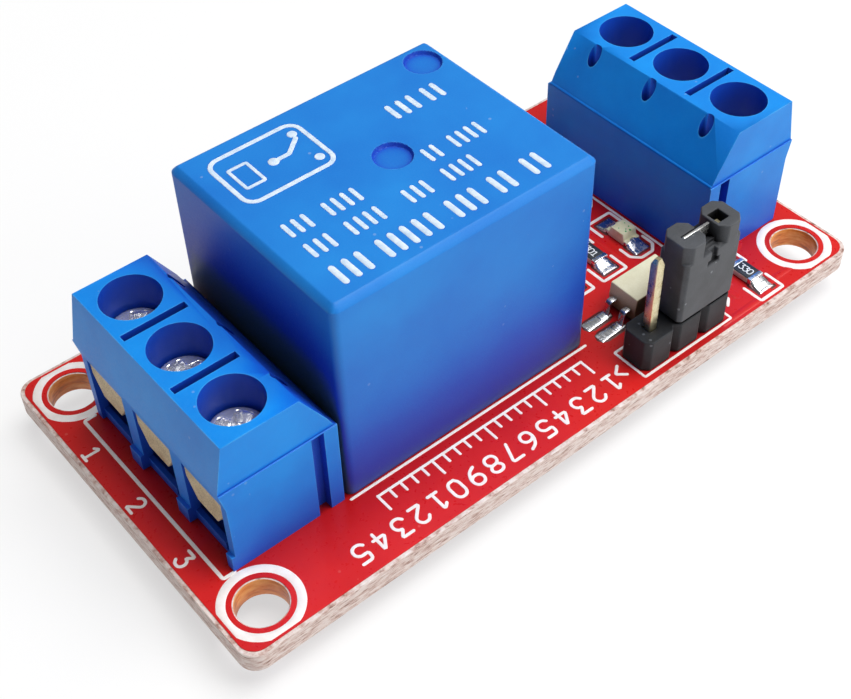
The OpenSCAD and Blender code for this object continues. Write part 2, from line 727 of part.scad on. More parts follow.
module relay_yoke() {
    foot = spool_x - pole_d / 2;
    color("silver") at_relay() difference() {
        union() {
            translate([foot, -yoke_w / 2, base_top]) cube([pivot_x - foot, yoke_w, yoke_t]);
            translate([pivot_x - yoke_t, -yoke_w / 2, base_top]) cube([yoke_t, yoke_w, yoke_top - base_top]);
        }
        translate([spool_x, 0, base_top - 1]) cylinder(h = yoke_t + 2, d = core_d + 2 * skin);
    }
}

// Turns a shape up to the released position, about the yoke's upper edge
module released() {
    at_relay() translate([pivot_x, 0, pivot_z]) rotate([0, armature_tilt, 0]) translate([-pivot_x, 0, -pivot_z])
        children();
}

rivets = [spool_x - 0.4, spool_x + 2.6];
spring_end = 0.1;
leg_gap = 0.3;
leg_drop = 3;

module relay_armature() {
    tip = spool_x - pole_d / 2 - 0.5;
    color("silver") released() {
        translate([tip, -yoke_w / 2, pivot_z]) cube([pivot_x - tip, yoke_w, armature_t]);
        for (x = rivets) translate([x, 0, armature_top]) {
            cylinder(h = spring_t, d = 1.3);
            translate([0, 0, spring_t]) cylinder(h = 0.3, d = 2);
        }
    }
}

module relay_spring() {
    tail = contact_x - contact_d / 2 - spring_end;
    leg = pivot_x + leg_gap;
    color("#c98a4b") released() difference() {
        union() {
            translate([tail, -spring_w / 2, armature_top]) cube([leg + spring_t - tail, spring_w, spring_t]);
            translate([leg, -spring_w / 2, pivot_z - leg_drop])
                cube([spring_t, spring_w, armature_t + leg_drop + spring_t]);
        }
        for (x = rivets) translate([x, 0, armature_top - 1]) cylinder(h = 2, d = 1.3 + 2 * skin);
        translate([contact_x, 0, armature_top - 1]) cylinder(h = 2, d = 1.2 + 2 * skin);
    }
}

module relay_moving_contact() {
    color("#d8d4c8") released() translate([contact_x, 0, armature_top]) {
        translate([0, 0, -contact_t]) cylinder(h = contact_t, d = contact_d);
        cylinder(h = spring_t, d = 1.2);
        translate([0, 0, spring_t]) cylinder(h = contact_t, d = contact_d);
    }
}

// Pin, upright strip and arm of a fixed contact; side is 1 or -1, z the arm's height
module fixed_contact(side, z) {
    at_relay() {
        translate([contact_pin_x, side * relay_pin_y, 0])
            block(strip_t, contact_pin_w, -board_t - relay_pin_out, z + strip_t);
        translate([contact_pin_x - strip_t / 2, min(side * (relay_pin_y + contact_pin_w / 2), -side * 1.2), z])
            cube([arm_l, relay_pin_y + contact_pin_w / 2 + 1.2, strip_t]);
    }
}

module relay_open_contact() { color("#b87333") fixed_contact(1, lower_strip); }
module relay_closed_contact() { color("#b87333") fixed_contact(-1, upper_strip); }

module relay_contact_heads() {
    color("#d8d4c8") at_relay() for (z = [lower_face - contact_t, upper_face])
        translate([contact_x, 0, z]) cylinder(h = contact_t, d = contact_d);
}

module relay_common_pin() {
    color("silver") at_relay() translate([common_x, 0, 0])
        block(strip_t, contact_pin_w, -board_t - relay_pin_out, base_top);
}

module relay_coil_pins() {
    color("silver") at_relay() for (s = [-1, 1]) translate([coil_pin_x, s * relay_pin_y, 0])
        block(coil_pin, coil_pin, -board_t - relay_pin_out, spool_z + flange_t);
}

// ---- terminal blocks, each drawn with its front towards -X ----

module block_side() {
    polygon([
        [-block_front, 0], [-block_front, entry_top], [-block_front - block_lip, ledge_z],
        [-top_front, block_h], [top_back, block_h],
        [top_back + (block_h - ledge_z) * 0.47, ledge_z + 0.8],
        [block_back - 0.2, ledge_z + 0.1], [block_back, ledge_z], [block_back, 0]
    ]);
}

module housing() {
    difference() {
        union() {
            side_shape(block_w - 2 * ledge_w) block_side();
            side_shape(block_w) intersection() {
                block_side();
                translate([-block_back - 1, 0]) square([2 * block_back + 2, ledge_z]);
            }
            for (i = [1:poles]) translate([-block_front - foot_out, pole_y(i) - entry_w / 2 + foot_side, 0])
                mirror([0, 1, 0]) cube([2 * foot_out, foot_w(i), foot_h]);
        }
        for (i = [1:poles]) translate([0, pole_y(i), 0]) {
            // Pocket of the clamp and the wire entry
            translate([clamp_front - 0.1, -pocket_w / 2, floor_t])
                cube([pocket_back - clamp_front + 0.1, pocket_w, pocket_top - floor_t]);
            translate([-block_front - 1, -entry_w / 2, sill_h])
                cube([front_wall + 1.1, entry_w, entry_top - sill_h]);
            translate([-block_front - 1, -entry_w / 2, -1]) cube([sill_back + 1, entry_w, sill_h + 2]);
            translate([-block_front - 1, -entry_w / 2, -1]) cube([1 + foot_out, sill_notch, sill_h + 1 + floor_t]);
            translate([-block_front - 1, -entry_w / 2, floor_t]) cube([front_wall + 1.1, sill_notch, sill_h]);
            translate([0, 0, pocket_top - 1]) cylinder(h = block_h, d = screw_d + 2 * shank_room);
            translate([0, 0, seat_z - seat_play]) cylinder(h = block_h, d = screw_hole_d);
            translate([top_back + 0.35, 0, block_h - eye_deep]) cylinder(h = block_h, d = eye_d);
            translate([leg_x - 0.1, -terminal_pin_w / 2 - 0.1, -1]) cube([bar_t + 0.2, terminal_pin_w + 0.2, 2]);
        }
        for (i = [1:poles - 1]) translate([0, pole_y(i) - pole_pitch / 2, 0])
            block(slot_l, slot_w, block_h - slot_deep, block_h + 1);
        for (s = [-1, 1]) translate([block_back - groove_from_back, s * block_w / 2, 0])
            block(groove_w, 2 * groove_deep, -1, ledge_z - 0.05);
    }
}

module terminal_screw(i, lift) {
    translate([0, pole_y(i), lift]) difference() {
        union() {
            translate([0, 0, tip_z]) cylinder(h = seat_z - tip_z + skin, d = screw_d);
            translate([0, 0, seat_z]) cylinder(h = head_h, d = head_d);
        }
        for (a = [0, 90]) rotate(a + 20 + 35 * i)
            block(head_d - 0.9, cross_w, seat_z + head_h - cross_deep, seat_z + head_h + 1);
    }
}

module clamp_cage(i) {
    translate([0, pole_y(i), 0]) difference() {
        translate([clamp_front, -clamp_w / 2, clamp_z]) cube([clamp_back - clamp_front, clamp_w, clamp_top - clamp_z]);
        translate([clamp_front - 1, -clamp_w / 2 + clamp_t, clamp_z + clamp_t])
            cube([clamp_back - clamp_front + 2, clamp_w - 2 * clamp_t, nut_z - clamp_z - clamp_t]);
        translate([0, 0, nut_z - 1]) cylinder(h = nut_t + 2, d = screw_d + 2 * thread_play);
    }
}

// Front tab from its lower edge up, with its two lower corners cut
module tab_outline(w, h) {
    polygon([
        [-w / 2 + tab_cut_w, 0], [w / 2 - tab_cut_w, 0], [w / 2, tab_cut_h],
        [w / 2, h], [-w / 2, h], [-w / 2, tab_cut_h]
    ]);
}

// Contact bar through the clamp, its front tab and its solder pin
module contact_bar(i) {
    bar_w = clamp_w - 2 * clamp_t - 4 * clamp_play;
    tab_w = entry_w - 2 * clamp_play;
    tab_t = -tab_front + clamp_front - 0.06;
    translate([0, pole_y(i), 0]) {
        translate([tab_front + tab_t - skin, -bar_w / 2, bar_z])
            cube([leg_x + bar_t - tab_front - tab_t + skin, bar_w, bar_t]);
        translate([tab_front, 0, bar_z + bar_t - tab_lap]) rotate([90, 0, 90]) linear_extrude(tab_t)
            tab_outline(tab_w, entry_top - skin - bar_z - bar_t + tab_lap);
        translate([leg_x, -terminal_pin_w / 2, -board_t - terminal_pin_out])
            cube([bar_t, terminal_pin_w, board_t + terminal_pin_out + bar_z + bar_t]);
    }
}

module output_housing() { color("#1479d8") at_output() housing(); }
module output_screw(i) { color("silver") at_output() terminal_screw(i, output_screw_lift); }
module output_clamp(i) { color("#cdbf9f") at_output() clamp_cage(i); }
module output_contact(i) { color("#cdbf9f") at_output() contact_bar(i); }
module input_housing() { color("#1479d8") at_input() housing(); }
module input_screw(i) { color("silver") at_input() terminal_screw(i, 0); }
module input_clamp(i) { color("#cdbf9f") at_input() clamp_cage(i); }
module input_contact(i) { color("#cdbf9f") at_input() contact_bar(i); }

// ---- header and jumper ----

module header_strip() {
    color("#2c2e31") difference() {
        translate([0, 0, board_t]) linear_extrude(header_h)
            for (i = [1:header_poles]) translate([pin_x(i), header_y]) cut_plate(pin_pitch, header_w, header_cut);
        for (i = [1:header_poles]) translate([pin_x(i), header_y, 0])
            block(pin_side + 2 * skin, pin_side + 2 * skin, 0, board_t + header_h + 1);
    }
}

// Square pin with a bevelled tip at each end
module header_pin(i) {
    z0 = -pin_out;
    z1 = board_t + header_h + pin_up;
    s = pin_side / 2;
    color("#d9cba6") translate([pin_x(i), header_y, 0]) intersection_for (a = [0, 90]) rotate(a)
        side_shape(pin_side) polygon([
            [-s, z0 + s], [-s / 2, z0], [s / 2, z0], [s, z0 + s],
            [s, z1 - s], [s / 2, z1], [-s / 2, z1], [-s, z1 - s]
        ]);
}

module jumper_cap() {
    slot = clip_t + 0.1;
    pin_hole = pin_side + 0.3;
    color("#3a3c3f") translate([jumper_x, header_y, jumper_z]) difference() {
        union() {
            linear_extrude(jumper_h) cut_plate(jumper_l, jumper_w, 0.25);
            for (s = [-1, 1]) translate([s * (jumper_l - lobe_l) / 2, 0, 0]) linear_extrude(jumper_top)
                cut_plate(lobe_l, jumper_w, lobe_cut);
            block(jumper_l - lobe_l, jumper_w - 1.3, jumper_h - 1, jumper_h + 0.3);
        }
        // Pocket of the clip, open below, a blind hole for the first pin and an open one for the second
        block(jumper_l - 2 * jumper_wall, jumper_w - 2 * jumper_wall, -1, clip_top);
        translate([-pin_pitch / 2, 0, 0]) block(pin_hole, pin_hole, 0, tip_up + pin_room);
        translate([pin_pitch / 2, 0, 0]) block(pin_hole, pin_hole, 0, jumper_top + 1);
        // Slots of the clip's web and strip
        translate([web_x - 0.05, -slot / 2, clip_top - 0.1]) cube([web_l + 0.1, slot, jumper_top]);
        translate([strip_x - 0.05, -slot / 2, tip_up]) cube([web_x - strip_x + 0.1, slot, jumper_top]);
        // Keyhole notch in the front and the back
        for (s = [-1, 1]) translate([0, s * jumper_w / 2, 0]) {
            block(0.5, 0.7, jumper_h - 1.1, jumper_top);
            block(1, 0.7, jumper_h - 1.1, jumper_h - 0.7);
        }
    }
}

// Sheet clip: a long leaf on one side of the pins, turned round each of them
module jumper_clip() {
    out = clip_out;
    l = pin_pitch / 2 + pin_side / 2 + clip_play + clip_t;
    leaf = pin_side + 2 * clip_play;
    strip_z = tip_up + clip_play;
    strip_top = jumper_top - clip_play;
    color("#dcdcd8") translate([jumper_x, header_y, jumper_z]) {
        linear_extrude(clip_top) {
            translate([-l, -out]) square([2 * l, clip_t]);
            for (s = [-1, 1]) {
                translate([s * (l - clip_t / 2), 0]) plate(clip_t, 2 * out);
                translate([s * (l - leaf / 2 - clip_t / 2), out - clip_t / 2]) plate(leaf + clip_t, clip_t);
            }
        }
        // Folded in from the leaf, up between the pins and along over the first of them
        translate([web_x, -out, clip_top - clip_t]) cube([web_l, out + clip_t / 2, clip_t]);
        translate([web_x, -clip_t / 2, clip_top - clip_t]) cube([web_l, clip_t, strip_top - clip_top + clip_t]);
        translate([strip_x, -clip_t / 2, strip_z]) cube([web_x + web_l - strip_x, clip_t, strip_top - strip_z]);
    }
}

// ---- chip parts ----

// Chip resistor: ceramic, dark coat and two metal ends, long way along Y
module chip_resistor(n) {
    mid = chip_l - 2 * chip_end;
    color("#2a2c30") translate([resistors[n - 1].x, resistors[n - 1].y, board_t]) union() {
        block(chip_w - 0.06, chip_l - 0.06, 0.03, chip_t - 0.03);
        block(chip_w, mid, 0.1, chip_t - 0.01);
        for (s = [-1, 1]) translate([0, s * (chip_l - chip_end) / 2, 0]) block(chip_w, chip_end, 0, chip_t);
    }
}

// Light-emitting chip: base with notched ends, and a lens with cut edges
module led_chip(n) {
    lens = chip_l - 2 * chip_end + 0.1;
    color("#e8e6c8") translate([leds[n - 1].x, leds[n - 1].y, board_t]) {
        difference() {
            block(chip_w, chip_l, 0, led_base_t);
            for (s = [-1, 1]) translate([0, s * chip_l / 2, -1]) cylinder(h = 3, d = 0.5);
        }
        intersection() {
            block(chip_w, lens, led_base_t, led_base_t + led_lens_t);
            rotate(90) side_shape(chip_w) polygon([
                [-lens / 2, led_base_t], [lens / 2, led_base_t], [lens / 2 - 0.12, led_base_t + led_lens_t],
                [-lens / 2 + 0.12, led_base_t + led_lens_t]
            ]);
        }
    }
}

module optocoupler_body() {
    w = opto_l / 2;
    z0 = opto_lift;
    mid = z0 + opto_h / 2;
    color("#e9e3c2") translate([opto_x, opto_y, board_t]) side_shape(opto_w) polygon([
        [-w + 0.12, z0], [w - 0.12, z0], [w, mid], [w - 0.12, z0 + opto_h], [-w + 0.12, z0 + opto_h], [-w, mid]
    ]);
}

// Bent lead that leaves a body at height z and ends in a foot on the board
module gull_lead(z, reach, t, w) {
    side_shape(w) polygon([
        [0, z], [reach * 0.4, z], [reach * 0.4 + t, t], [reach, t], [reach, 0], [reach * 0.4, 0],
        [reach * 0.4 - t, z - t], [0, z - t]
    ]);
}

module optocoupler_leads() {
    color("silver") translate([opto_x, opto_y, board_t]) for (s = [0, 180], y = [-1, 1]) rotate(s)
        translate([opto_l / 2, y * opto_pitch / 2, 0]) gull_lead(opto_lift + (opto_h + lead_t) / 2, opto_reach, lead_t, opto_lead_w);
}

module power_led() { led_chip(1); }
module status_led() { led_chip(2); }

// Feet of the transistor: [x, y, direction] of each foot's outer end
lead_run = 0.55;
function transistor_feet() = [
    [-0.95, -transistor_w / 2 - lead_run, -90], [0.95, -transistor_w / 2 - lead_run, -90],
    [0, transistor_w / 2 + lead_run, 90]
];

module transistor_body() {
    color("#26282b") translate([transistor_x, back_row_y, board_t]) 
        block(transistor_l, transistor_w, transistor_lift, transistor_lift + transistor_h);
}

module transistor_leads() {
    color("silver") translate([transistor_x, back_row_y, board_t]) for (p = transistor_feet())
        translate([p.x, p.y - sign(p.y) * lead_run, 0]) rotate(p.z) gull_lead(transistor_lift + transistor_h / 2, lead_run, lead_t, transistor_lead_w);
}

// Round diode with metal end caps, lying on the board
module flyback_diode() {
    r = diode_d / 2;
    color("#33363a") translate([diode_x, back_row_y, board_t + r]) rotate([0, 90, 0]) union() {
        translate([0, 0, -diode_l / 2]) cylinder(h = diode_l, r = r - 0.08);
        for (z = [-diode_l / 2, diode_end]) translate([0, 0, z]) cylinder(h = diode_l / 2 - diode_end, r = r);
    }
}

circuit_board();
colour_coat();
white_print();
chip_solder();
pin_solder();
relay_base();
relay_cover();
relay_marking();
relay_spool();
relay_winding();
relay_core();
relay_yoke();
relay_armature();
relay_spring();
relay_moving_contact();
relay_open_contact();
relay_closed_contact();
relay_contact_heads();
relay_common_pin();
relay_coil_pins();
output_housing();
for (i = [1:poles]) {
    output_screw(i);
    output_clamp(i);
    output_contact(i);
}
input_housing();
for (i = [1:poles]) {
    input_screw(i);
    input_clamp(i);
    input_contact(i);
}
header_strip();
for (i = [1:header_poles]) header_pin(i);
jumper_cap();
jumper_clip();
optocoupler_body();
optocoupler_leads();
power_led();
status_led();
for (i = [1:len(resistors)]) chip_resistor(i);
transistor_body();
transistor_leads();
flyback_diode();
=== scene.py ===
import bmesh
import bpy
import math
import numpy as np
from mathutils import Matrix, Vector


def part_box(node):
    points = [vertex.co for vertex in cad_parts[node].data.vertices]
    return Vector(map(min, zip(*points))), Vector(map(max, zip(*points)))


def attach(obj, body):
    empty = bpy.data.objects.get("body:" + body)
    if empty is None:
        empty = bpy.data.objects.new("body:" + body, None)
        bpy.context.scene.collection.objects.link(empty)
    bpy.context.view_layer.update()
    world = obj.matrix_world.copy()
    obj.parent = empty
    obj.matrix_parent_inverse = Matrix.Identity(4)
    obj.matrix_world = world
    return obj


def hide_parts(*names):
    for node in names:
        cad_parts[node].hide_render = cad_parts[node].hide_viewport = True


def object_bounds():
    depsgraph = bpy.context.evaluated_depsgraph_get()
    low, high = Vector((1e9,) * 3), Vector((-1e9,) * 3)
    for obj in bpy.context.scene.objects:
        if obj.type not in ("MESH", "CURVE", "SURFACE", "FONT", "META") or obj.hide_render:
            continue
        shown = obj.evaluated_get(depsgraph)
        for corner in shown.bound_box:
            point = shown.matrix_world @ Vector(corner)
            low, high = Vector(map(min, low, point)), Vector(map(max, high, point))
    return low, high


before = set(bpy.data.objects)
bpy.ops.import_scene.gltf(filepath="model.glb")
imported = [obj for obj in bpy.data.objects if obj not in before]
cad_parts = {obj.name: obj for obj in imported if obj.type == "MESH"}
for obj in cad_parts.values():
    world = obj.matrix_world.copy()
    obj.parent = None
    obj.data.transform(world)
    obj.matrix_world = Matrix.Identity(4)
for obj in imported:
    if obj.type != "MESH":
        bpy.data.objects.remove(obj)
cadBox = [list(corner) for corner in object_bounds()]
print("frame loaded:", len(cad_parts), "nodes")

mm = 0.001
scene = bpy.context.scene
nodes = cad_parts
materials = {}


def cosSin(degrees):
    return math.cos(math.radians(degrees)), math.sin(math.radians(degrees))


def addObject(name, data):
    made = bpy.data.objects.new(name, data)
    scene.collection.objects.link(made)
    return made


cameraSettings = {
    "azimuth": -38.416,      # degrees, from the near long side towards the output end
    "elevation": 46.654,
    "roll": -1.735,
    "distance": 81.947,      # mm, to the target
    "target": (-6.949, -6.161, 8.0),
    "lens": 59.87,
    "sensor": 36,
    "clip": (0.002, 20),
}


def addCamera(look):
    # The eye stands on a sphere about the target, looks at it, and rolls about its line of sight
    (cosA, sinA), (cosE, sinE) = cosSin(look["azimuth"]), cosSin(look["elevation"])
    away = Vector((sinA * cosE, -cosA * cosE, sinE))
    right = (-away).cross(Vector((0, 0, 1))).normalized()
    top = right.cross(-away)
    c, s = cosSin(look["roll"])
    axes = Matrix((right * c + top * s, top * c - right * s, away)).transposed()
    data = bpy.data.cameras.new("camera")
    data.lens, data.sensor_width = look["lens"], look["sensor"]
    data.clip_start, data.clip_end = look["clip"]
    spot = Vector(look["target"]) * mm + away * look["distance"] * mm
    scene.camera = addObject("camera", data)
    scene.camera.matrix_world = Matrix.Translation(spot) @ axes.to_4x4()


addCamera(cameraSettings)


def boxOf(node):
    low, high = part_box(node)
    return np.array(low) / mm, np.array(high) / mm


def middleOf(node):
    low, high = boxOf(node)
    return (low + high) / 2


def unit(vectors):
    return vectors / np.linalg.norm(vectors, axis=-1, keepdims=True)


def circle(n):
    return np.linspace(0, 2 * math.pi, n, endpoint=False)


def grid(x, y, z):
    return np.stack(np.broadcast_arrays(x, y, z), axis=-1)


def gridPart(points, wrapCols=False, wrapRows=False):
    # A part is its points in mm and its quads, here those of a grid; a wrapped direction joins its
    # last line to its first
    rows, cols = points.shape[:2]
    r, c = np.meshgrid(np.arange(rows if wrapRows else rows - 1),
                       np.arange(cols if wrapCols else cols - 1), indexing="ij")
    r, c = r.ravel(), c.ravel()
    rNext, cNext = (r + 1) % rows, (c + 1) % cols
    quads = [r * cols + c, r * cols + cNext, rNext * cols + cNext, rNext * cols + c]
    return points.reshape(-1, 3), np.stack(quads, axis=1)


def moved(part, offset, turn=0.0):
    # Turned about Z by so many degrees, then shifted
    c, s = cosSin(turn)
    return part[0] @ np.array([[c, s, 0], [-s, c, 0], [0, 0, 1]]) + offset, part[1]


meshSettings = {
    "weld": 2e-8, "nodeWeld": 2e-6, "sliver": 1e-9,     # m, on new surfaces, CAD nodes and edges
    "flat": 0.6, "corner": 25, "softSharp": 40,         # degrees
    "bevelSteps": 2, "bevelRoom": 1.5,                  # a bevel needs so many widths of edge
}


def finishPiece(work, mesh, finish, body, node, sharp):
    # Shades it smooth up to the sharp angle, and says what it rides on and what it stands for
    work.to_mesh(mesh)
    work.free()
    mesh.validate()
    mesh.polygons.foreach_set("use_smooth", np.ones(len(mesh.polygons), dtype=bool))
    mesh.set_sharp_from_angle(angle=math.radians(sharp))
    for name in finish:
        mesh.materials.append(materials[name])
    piece = addObject(mesh.name, mesh)
    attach(piece, body)
    if node:
        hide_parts(node)
    return piece


def makePiece(name, parts, finish, body="board", node=None, sharp=38):
    # Joins the parts in one mesh, and closes its seams and poles
    shifts = np.cumsum([0] + [len(points) for points, quads in parts])
    points = np.concatenate([points for points, quads in parts])
    quads = np.concatenate([part[1] + shift for part, shift in zip(parts, shifts)])
    mesh = bpy.data.meshes.new(name)
    mesh.from_pydata((points * mm).tolist(), [], quads.tolist())
    work = bmesh.new()
    work.from_mesh(mesh)
    bmesh.ops.remove_doubles(work, verts=work.verts, dist=meshSettings["weld"])
    bmesh.ops.dissolve_degenerate(work, edges=work.edges, dist=meshSettings["sliver"])
    finishPiece(work, mesh, [finish], body, node, sharp)


def softCopy(node, name, finish, body="board", width=0.1, pick=None):
    # A CAD node's copy: loose triangles joined, flat faces made whole, every corner edge rounded
    work = bmesh.new()
    work.from_mesh(nodes[node].data)
    bmesh.ops.remove_doubles(work, verts=work.verts, dist=meshSettings["nodeWeld"])
    bmesh.ops.dissolve_limit(work, angle_limit=math.radians(meshSettings["flat"]),
                             verts=work.verts, edges=work.edges, delimit={"NORMAL"})
    room, least = meshSettings["bevelRoom"] * width * mm, math.radians(meshSettings["corner"])
    corners = [e for e in work.edges if e.is_manifold and e.calc_face_angle(0) > least
               and min(near.calc_length() for v in e.verts for near in v.link_edges) > room]
    bmesh.ops.bevel(work, geom=corners, offset=width * mm, offset_type="OFFSET", profile=0.5,
                    segments=meshSettings["bevelSteps"], affect="EDGES", clamp_overlap=True,
                    loop_slide=True)
    if pick:
        for face in work.faces:
            face.material_index = pick(face)
    piece = finishPiece(work, bpy.data.meshes.new(name), finish if pick else [finish], body,
                        node, meshSettings["softSharp"])
    piece.modifiers.new("evenNormals", "WEIGHTED_NORMAL").keep_sharp = True


def outline(length, width, radius, n=5):
    # Rounded rectangle, counterclockwise: four quarter circles about its inner corners
    quarter = np.linspace(0, math.pi / 2, n)
    turn = np.concatenate([quarter + k * math.pi / 2 for k in range(4)])
    x = np.repeat([1, -1, -1, 1], n) * (length / 2 - radius) + radius * np.cos(turn)
    y = np.repeat([1, 1, -1, -1], n) * (width / 2 - radius) + radius * np.sin(turn)
    return np.stack([x, y], axis=1)


def mouldedBlock(centre, size, corner=0.1, edge=0.06, n=4, draft=0.0, least=0.01):
    # A rounded outline carried up: it draws in along a quarter circle at both rims, and by the
    # draft on the way
    length, width, height = size
    t = np.linspace(0, math.pi / 2, n)
    z = np.concatenate([edge * (1 - np.cos(t)), height - edge * (1 - np.sin(t))])
    inset = edge * (1 - np.concatenate([np.sin(t), np.cos(t)])) + draft * z / height
    rows = [grid(*outline(length - 2 * i, width - 2 * i, max(corner - i, least), n).T, h)
            for i, h in zip(inset, z)]
    rows = [rows[0] * [0, 0, 1], *rows, rows[-1] * [0, 0, 1]]
    return moved(gridPart(np.stack(rows), wrapCols=True), centre)


def lathe(profile, centre, n=32):
    # A profile of radius and height, from the lower pole to the upper one, turned about Z
    r, z = np.array(profile, float).T[:, :, None]
    turn = circle(n)
    return moved(gridPart(grid(r * np.cos(turn), r * np.sin(turn), z), wrapCols=True), centre)


def bendPath(points, radius, n=4, closed=False, most=0.45):
    # A broken line whose corners become arcs: each is a blend of its two straight runs, of second
    # degree, and takes at most so much of a run
    points = np.asarray(points, float)
    ends = []
    for step in (1, -1):
        run = np.roll(points, step, axis=0) - points
        length = np.linalg.norm(run, axis=1, keepdims=True)
        ends.append(points + run / length * np.minimum(radius, length * most))
    start, end = ends[0][:, None], ends[1][:, None]
    t = np.linspace(0, 1, n)[None, :, None]
    arcs = (1 - t) ** 2 * start + 2 * t * (1 - t) * points[:, None] + t ** 2 * end
    if closed:
        return arcs.reshape(-1, points.shape[1])
    return np.concatenate([points[:1], arcs[1:-1].reshape(-1, points.shape[1]), points[-1:]])


def sweep(path, section, side):
    # A section in side and normal directions carried along a path; each end closes in its middle
    path, side = np.asarray(path, float), np.asarray(side, float)
    normal = np.cross(unit(np.gradient(path, axis=0)), side)
    rows = path[:, None] + section[None, :, :1] * side + section[None, :, 1:] * normal[:, None]
    ends = np.repeat(path[[0, -1], None], len(section), axis=1)
    return gridPart(np.concatenate([ends[:1], rows, ends[1:]]), wrapCols=True)


inkCrown = np.array([(1, 0), (0.82, 0.8), (0, 1), (-0.82, 0.8), (-1, 0)])   # across and up


def ribbon(points, width, low, high, closed=False):
    # A printed line: a low crowned section carried along a flat path, with half-round ends
    points = np.asarray(points, float)[:, :2]
    half = width / 2
    if closed:
        tangent = np.roll(points, -1, axis=0) - np.roll(points, 1, axis=0)
        halves = np.full(len(points), half)
    else:
        first, last = unit(points[0] - points[1]), unit(points[-1] - points[-2])
        a = np.linspace(0, math.pi / 2, 5)[:-1]
        points = np.concatenate([points[0] + first * half * np.cos(a)[:, None], points,
                                 points[-1] + last * half * np.cos(a[::-1])[:, None]])
        halves = np.concatenate([half * np.sin(a), np.full(len(points) - 2 * len(a), half),
                                 half * np.sin(a[::-1])])
        tangent = np.gradient(points, axis=0)
    tangent = unit(tangent)
    side = np.stack([-tangent[:, 1], tangent[:, 0]], axis=1)
    flat = points[:, None] + side[:, None] * (halves[:, None, None] * inkCrown[None, :, :1])
    level = inkCrown[:, 1] * (high - low) + low
    return gridPart(grid(flat[..., 0], flat[..., 1], level), wrapCols=True, wrapRows=closed)


def band(centre, inner, outer, low, high, n=64, slope=0.15):
    # Flat ring with sloping rims, whose inner and outer radius may change with the angle
    turn, edge = circle(n)[:, None], slope * (outer - inner)
    r = np.stack(np.broadcast_arrays(outer, outer - edge, inner + edge, inner), axis=1)
    rows = grid(r * np.cos(turn), r * np.sin(turn), [low, high, high, low])
    return moved(gridPart(rows[::-1], wrapCols=True, wrapRows=True), centre)


def rgb(colour):
    # Screen colour from 0 to 255, as the linear value that the shader takes
    c = np.array(colour) / 255
    return tuple(np.where(c <= 0.04045, c / 12.92, ((c + 0.055) / 1.055) ** 2.4)) + (1.0,)


def feed(tree, node, inputs):
    # A socket is linked to its input; anything else becomes the input's own value
    for key, value in inputs.items():
        if isinstance(value, bpy.types.NodeSocket):
            tree.links.new(value, node.inputs[key])
        else:
            node.inputs[key].default_value = value
    return node


def addNode(tree, kind, inputs={}, **props):
    made = tree.nodes.new("ShaderNode" + kind)
    for key, value in props.items():
        setattr(made, key, value)
    return feed(tree, made, inputs)


def maths(tree, operation, a, b=0.5, clamp=False):
    return addNode(tree, "Math", {0: a, 1: b}, operation=operation, use_clamp=clamp).outputs[0]


def times(tree, a, b, clamp=False):
    return maths(tree, "MULTIPLY", a, b, clamp)


def mixColour(tree, factor, a, b):
    return addNode(tree, "Mix", {0: factor, 6: a, 7: b}, data_type="RGBA").outputs[2]


def remap(tree, value, low, high, toLow=0.0, toHigh=1.0):
    return addNode(tree, "MapRange", {"Value": value, "From Min": low, "From Max": high,
                                      "To Min": toLow, "To Max": toHigh}).outputs[0]


def objectPoint(tree):
    return addNode(tree, "TexCoord").outputs["Object"]


def perMetre(tree, size):
    # How many lengths of this size, in mm, make a metre
    return maths(tree, "DIVIDE", 1000.0, size)


def noise(tree, where, scale, detail, rough=0.5):
    return addNode(tree, "TexNoise", {"Vector": where, "Scale": scale, "Detail": detail,
                                      "Roughness": rough}).outputs["Fac"]


def relief(tree, height, deep):
    return addNode(tree, "Bump", {"Height": height, "Distance": deep * mm}).outputs[0]


def newGroup(name, inputs, outputs):
    group = bpy.data.node_groups.new(name, "ShaderNodeTree")
    for label, value in inputs.items():
        socket = group.interface.new_socket(label, in_out="INPUT", socket_type="NodeSocketFloat")
        socket.default_value = value
    for label in outputs:
        group.interface.new_socket(label, in_out="OUTPUT", socket_type="NodeSocketFloat")
    given = group.nodes.new("NodeGroupInput").outputs
    return group, given, group.nodes.new("NodeGroupOutput")


def place(tree, group, inputs={}):
    return addNode(tree, "Group", inputs, node_tree=group).outputs


def makeGrain():
    # Moulded grain: a slow cloud for the shade, a fine one for the speckle, and both as a height
    group, given, out = newGroup("mouldedGrain", {"Cloud Size": 2.0, "Grain Size": 0.15,
                                                  "Mottle": 0.5}, ["Shade", "Speckle", "Height"])
    where = objectPoint(group)
    slow = noise(group, where, perMetre(group, given["Cloud Size"]), 3.0, 0.55)
    fine = noise(group, where, perMetre(group, given["Grain Size"]), 2.0, 0.6)
    both = addNode(group, "Mix", {0: given["Mottle"], 2: fine, 3: slow}).outputs[0]
    feed(group, out, {"Shade": remap(group, slow, 0.3, 0.7), "Height": both,
                      "Speckle": remap(group, fine, 0.3, 0.7)})
    return group


def makeRubAndHighlight():
    # Rubbed edges and a painted edge highlight: how far the rounded normal leaves the true one,
    # broken up by a cloud
    group, given, out = newGroup("rubbedEdgesAndHighlight", {"Radius": 0.1, "Gain": 3.0}, ["Mask"])
    radius = times(group, given["Radius"], mm)
    soft = addNode(group, "Bevel", {"Radius": radius}, samples=6).outputs[0]
    true = addNode(group, "NewGeometry").outputs["Normal"]
    along = addNode(group, "VectorMath", {0: soft, 1: true}, operation="DOT_PRODUCT")
    apart = maths(group, "SUBTRACT", 1.0, along.outputs["Value"])
    edge = times(group, apart, given["Gain"], True)
    cloud = remap(group, noise(group, objectPoint(group), 900.0, 4.0), 0.3, 0.62)
    feed(group, out, {"Mask": times(group, edge, cloud, True)})
    return group


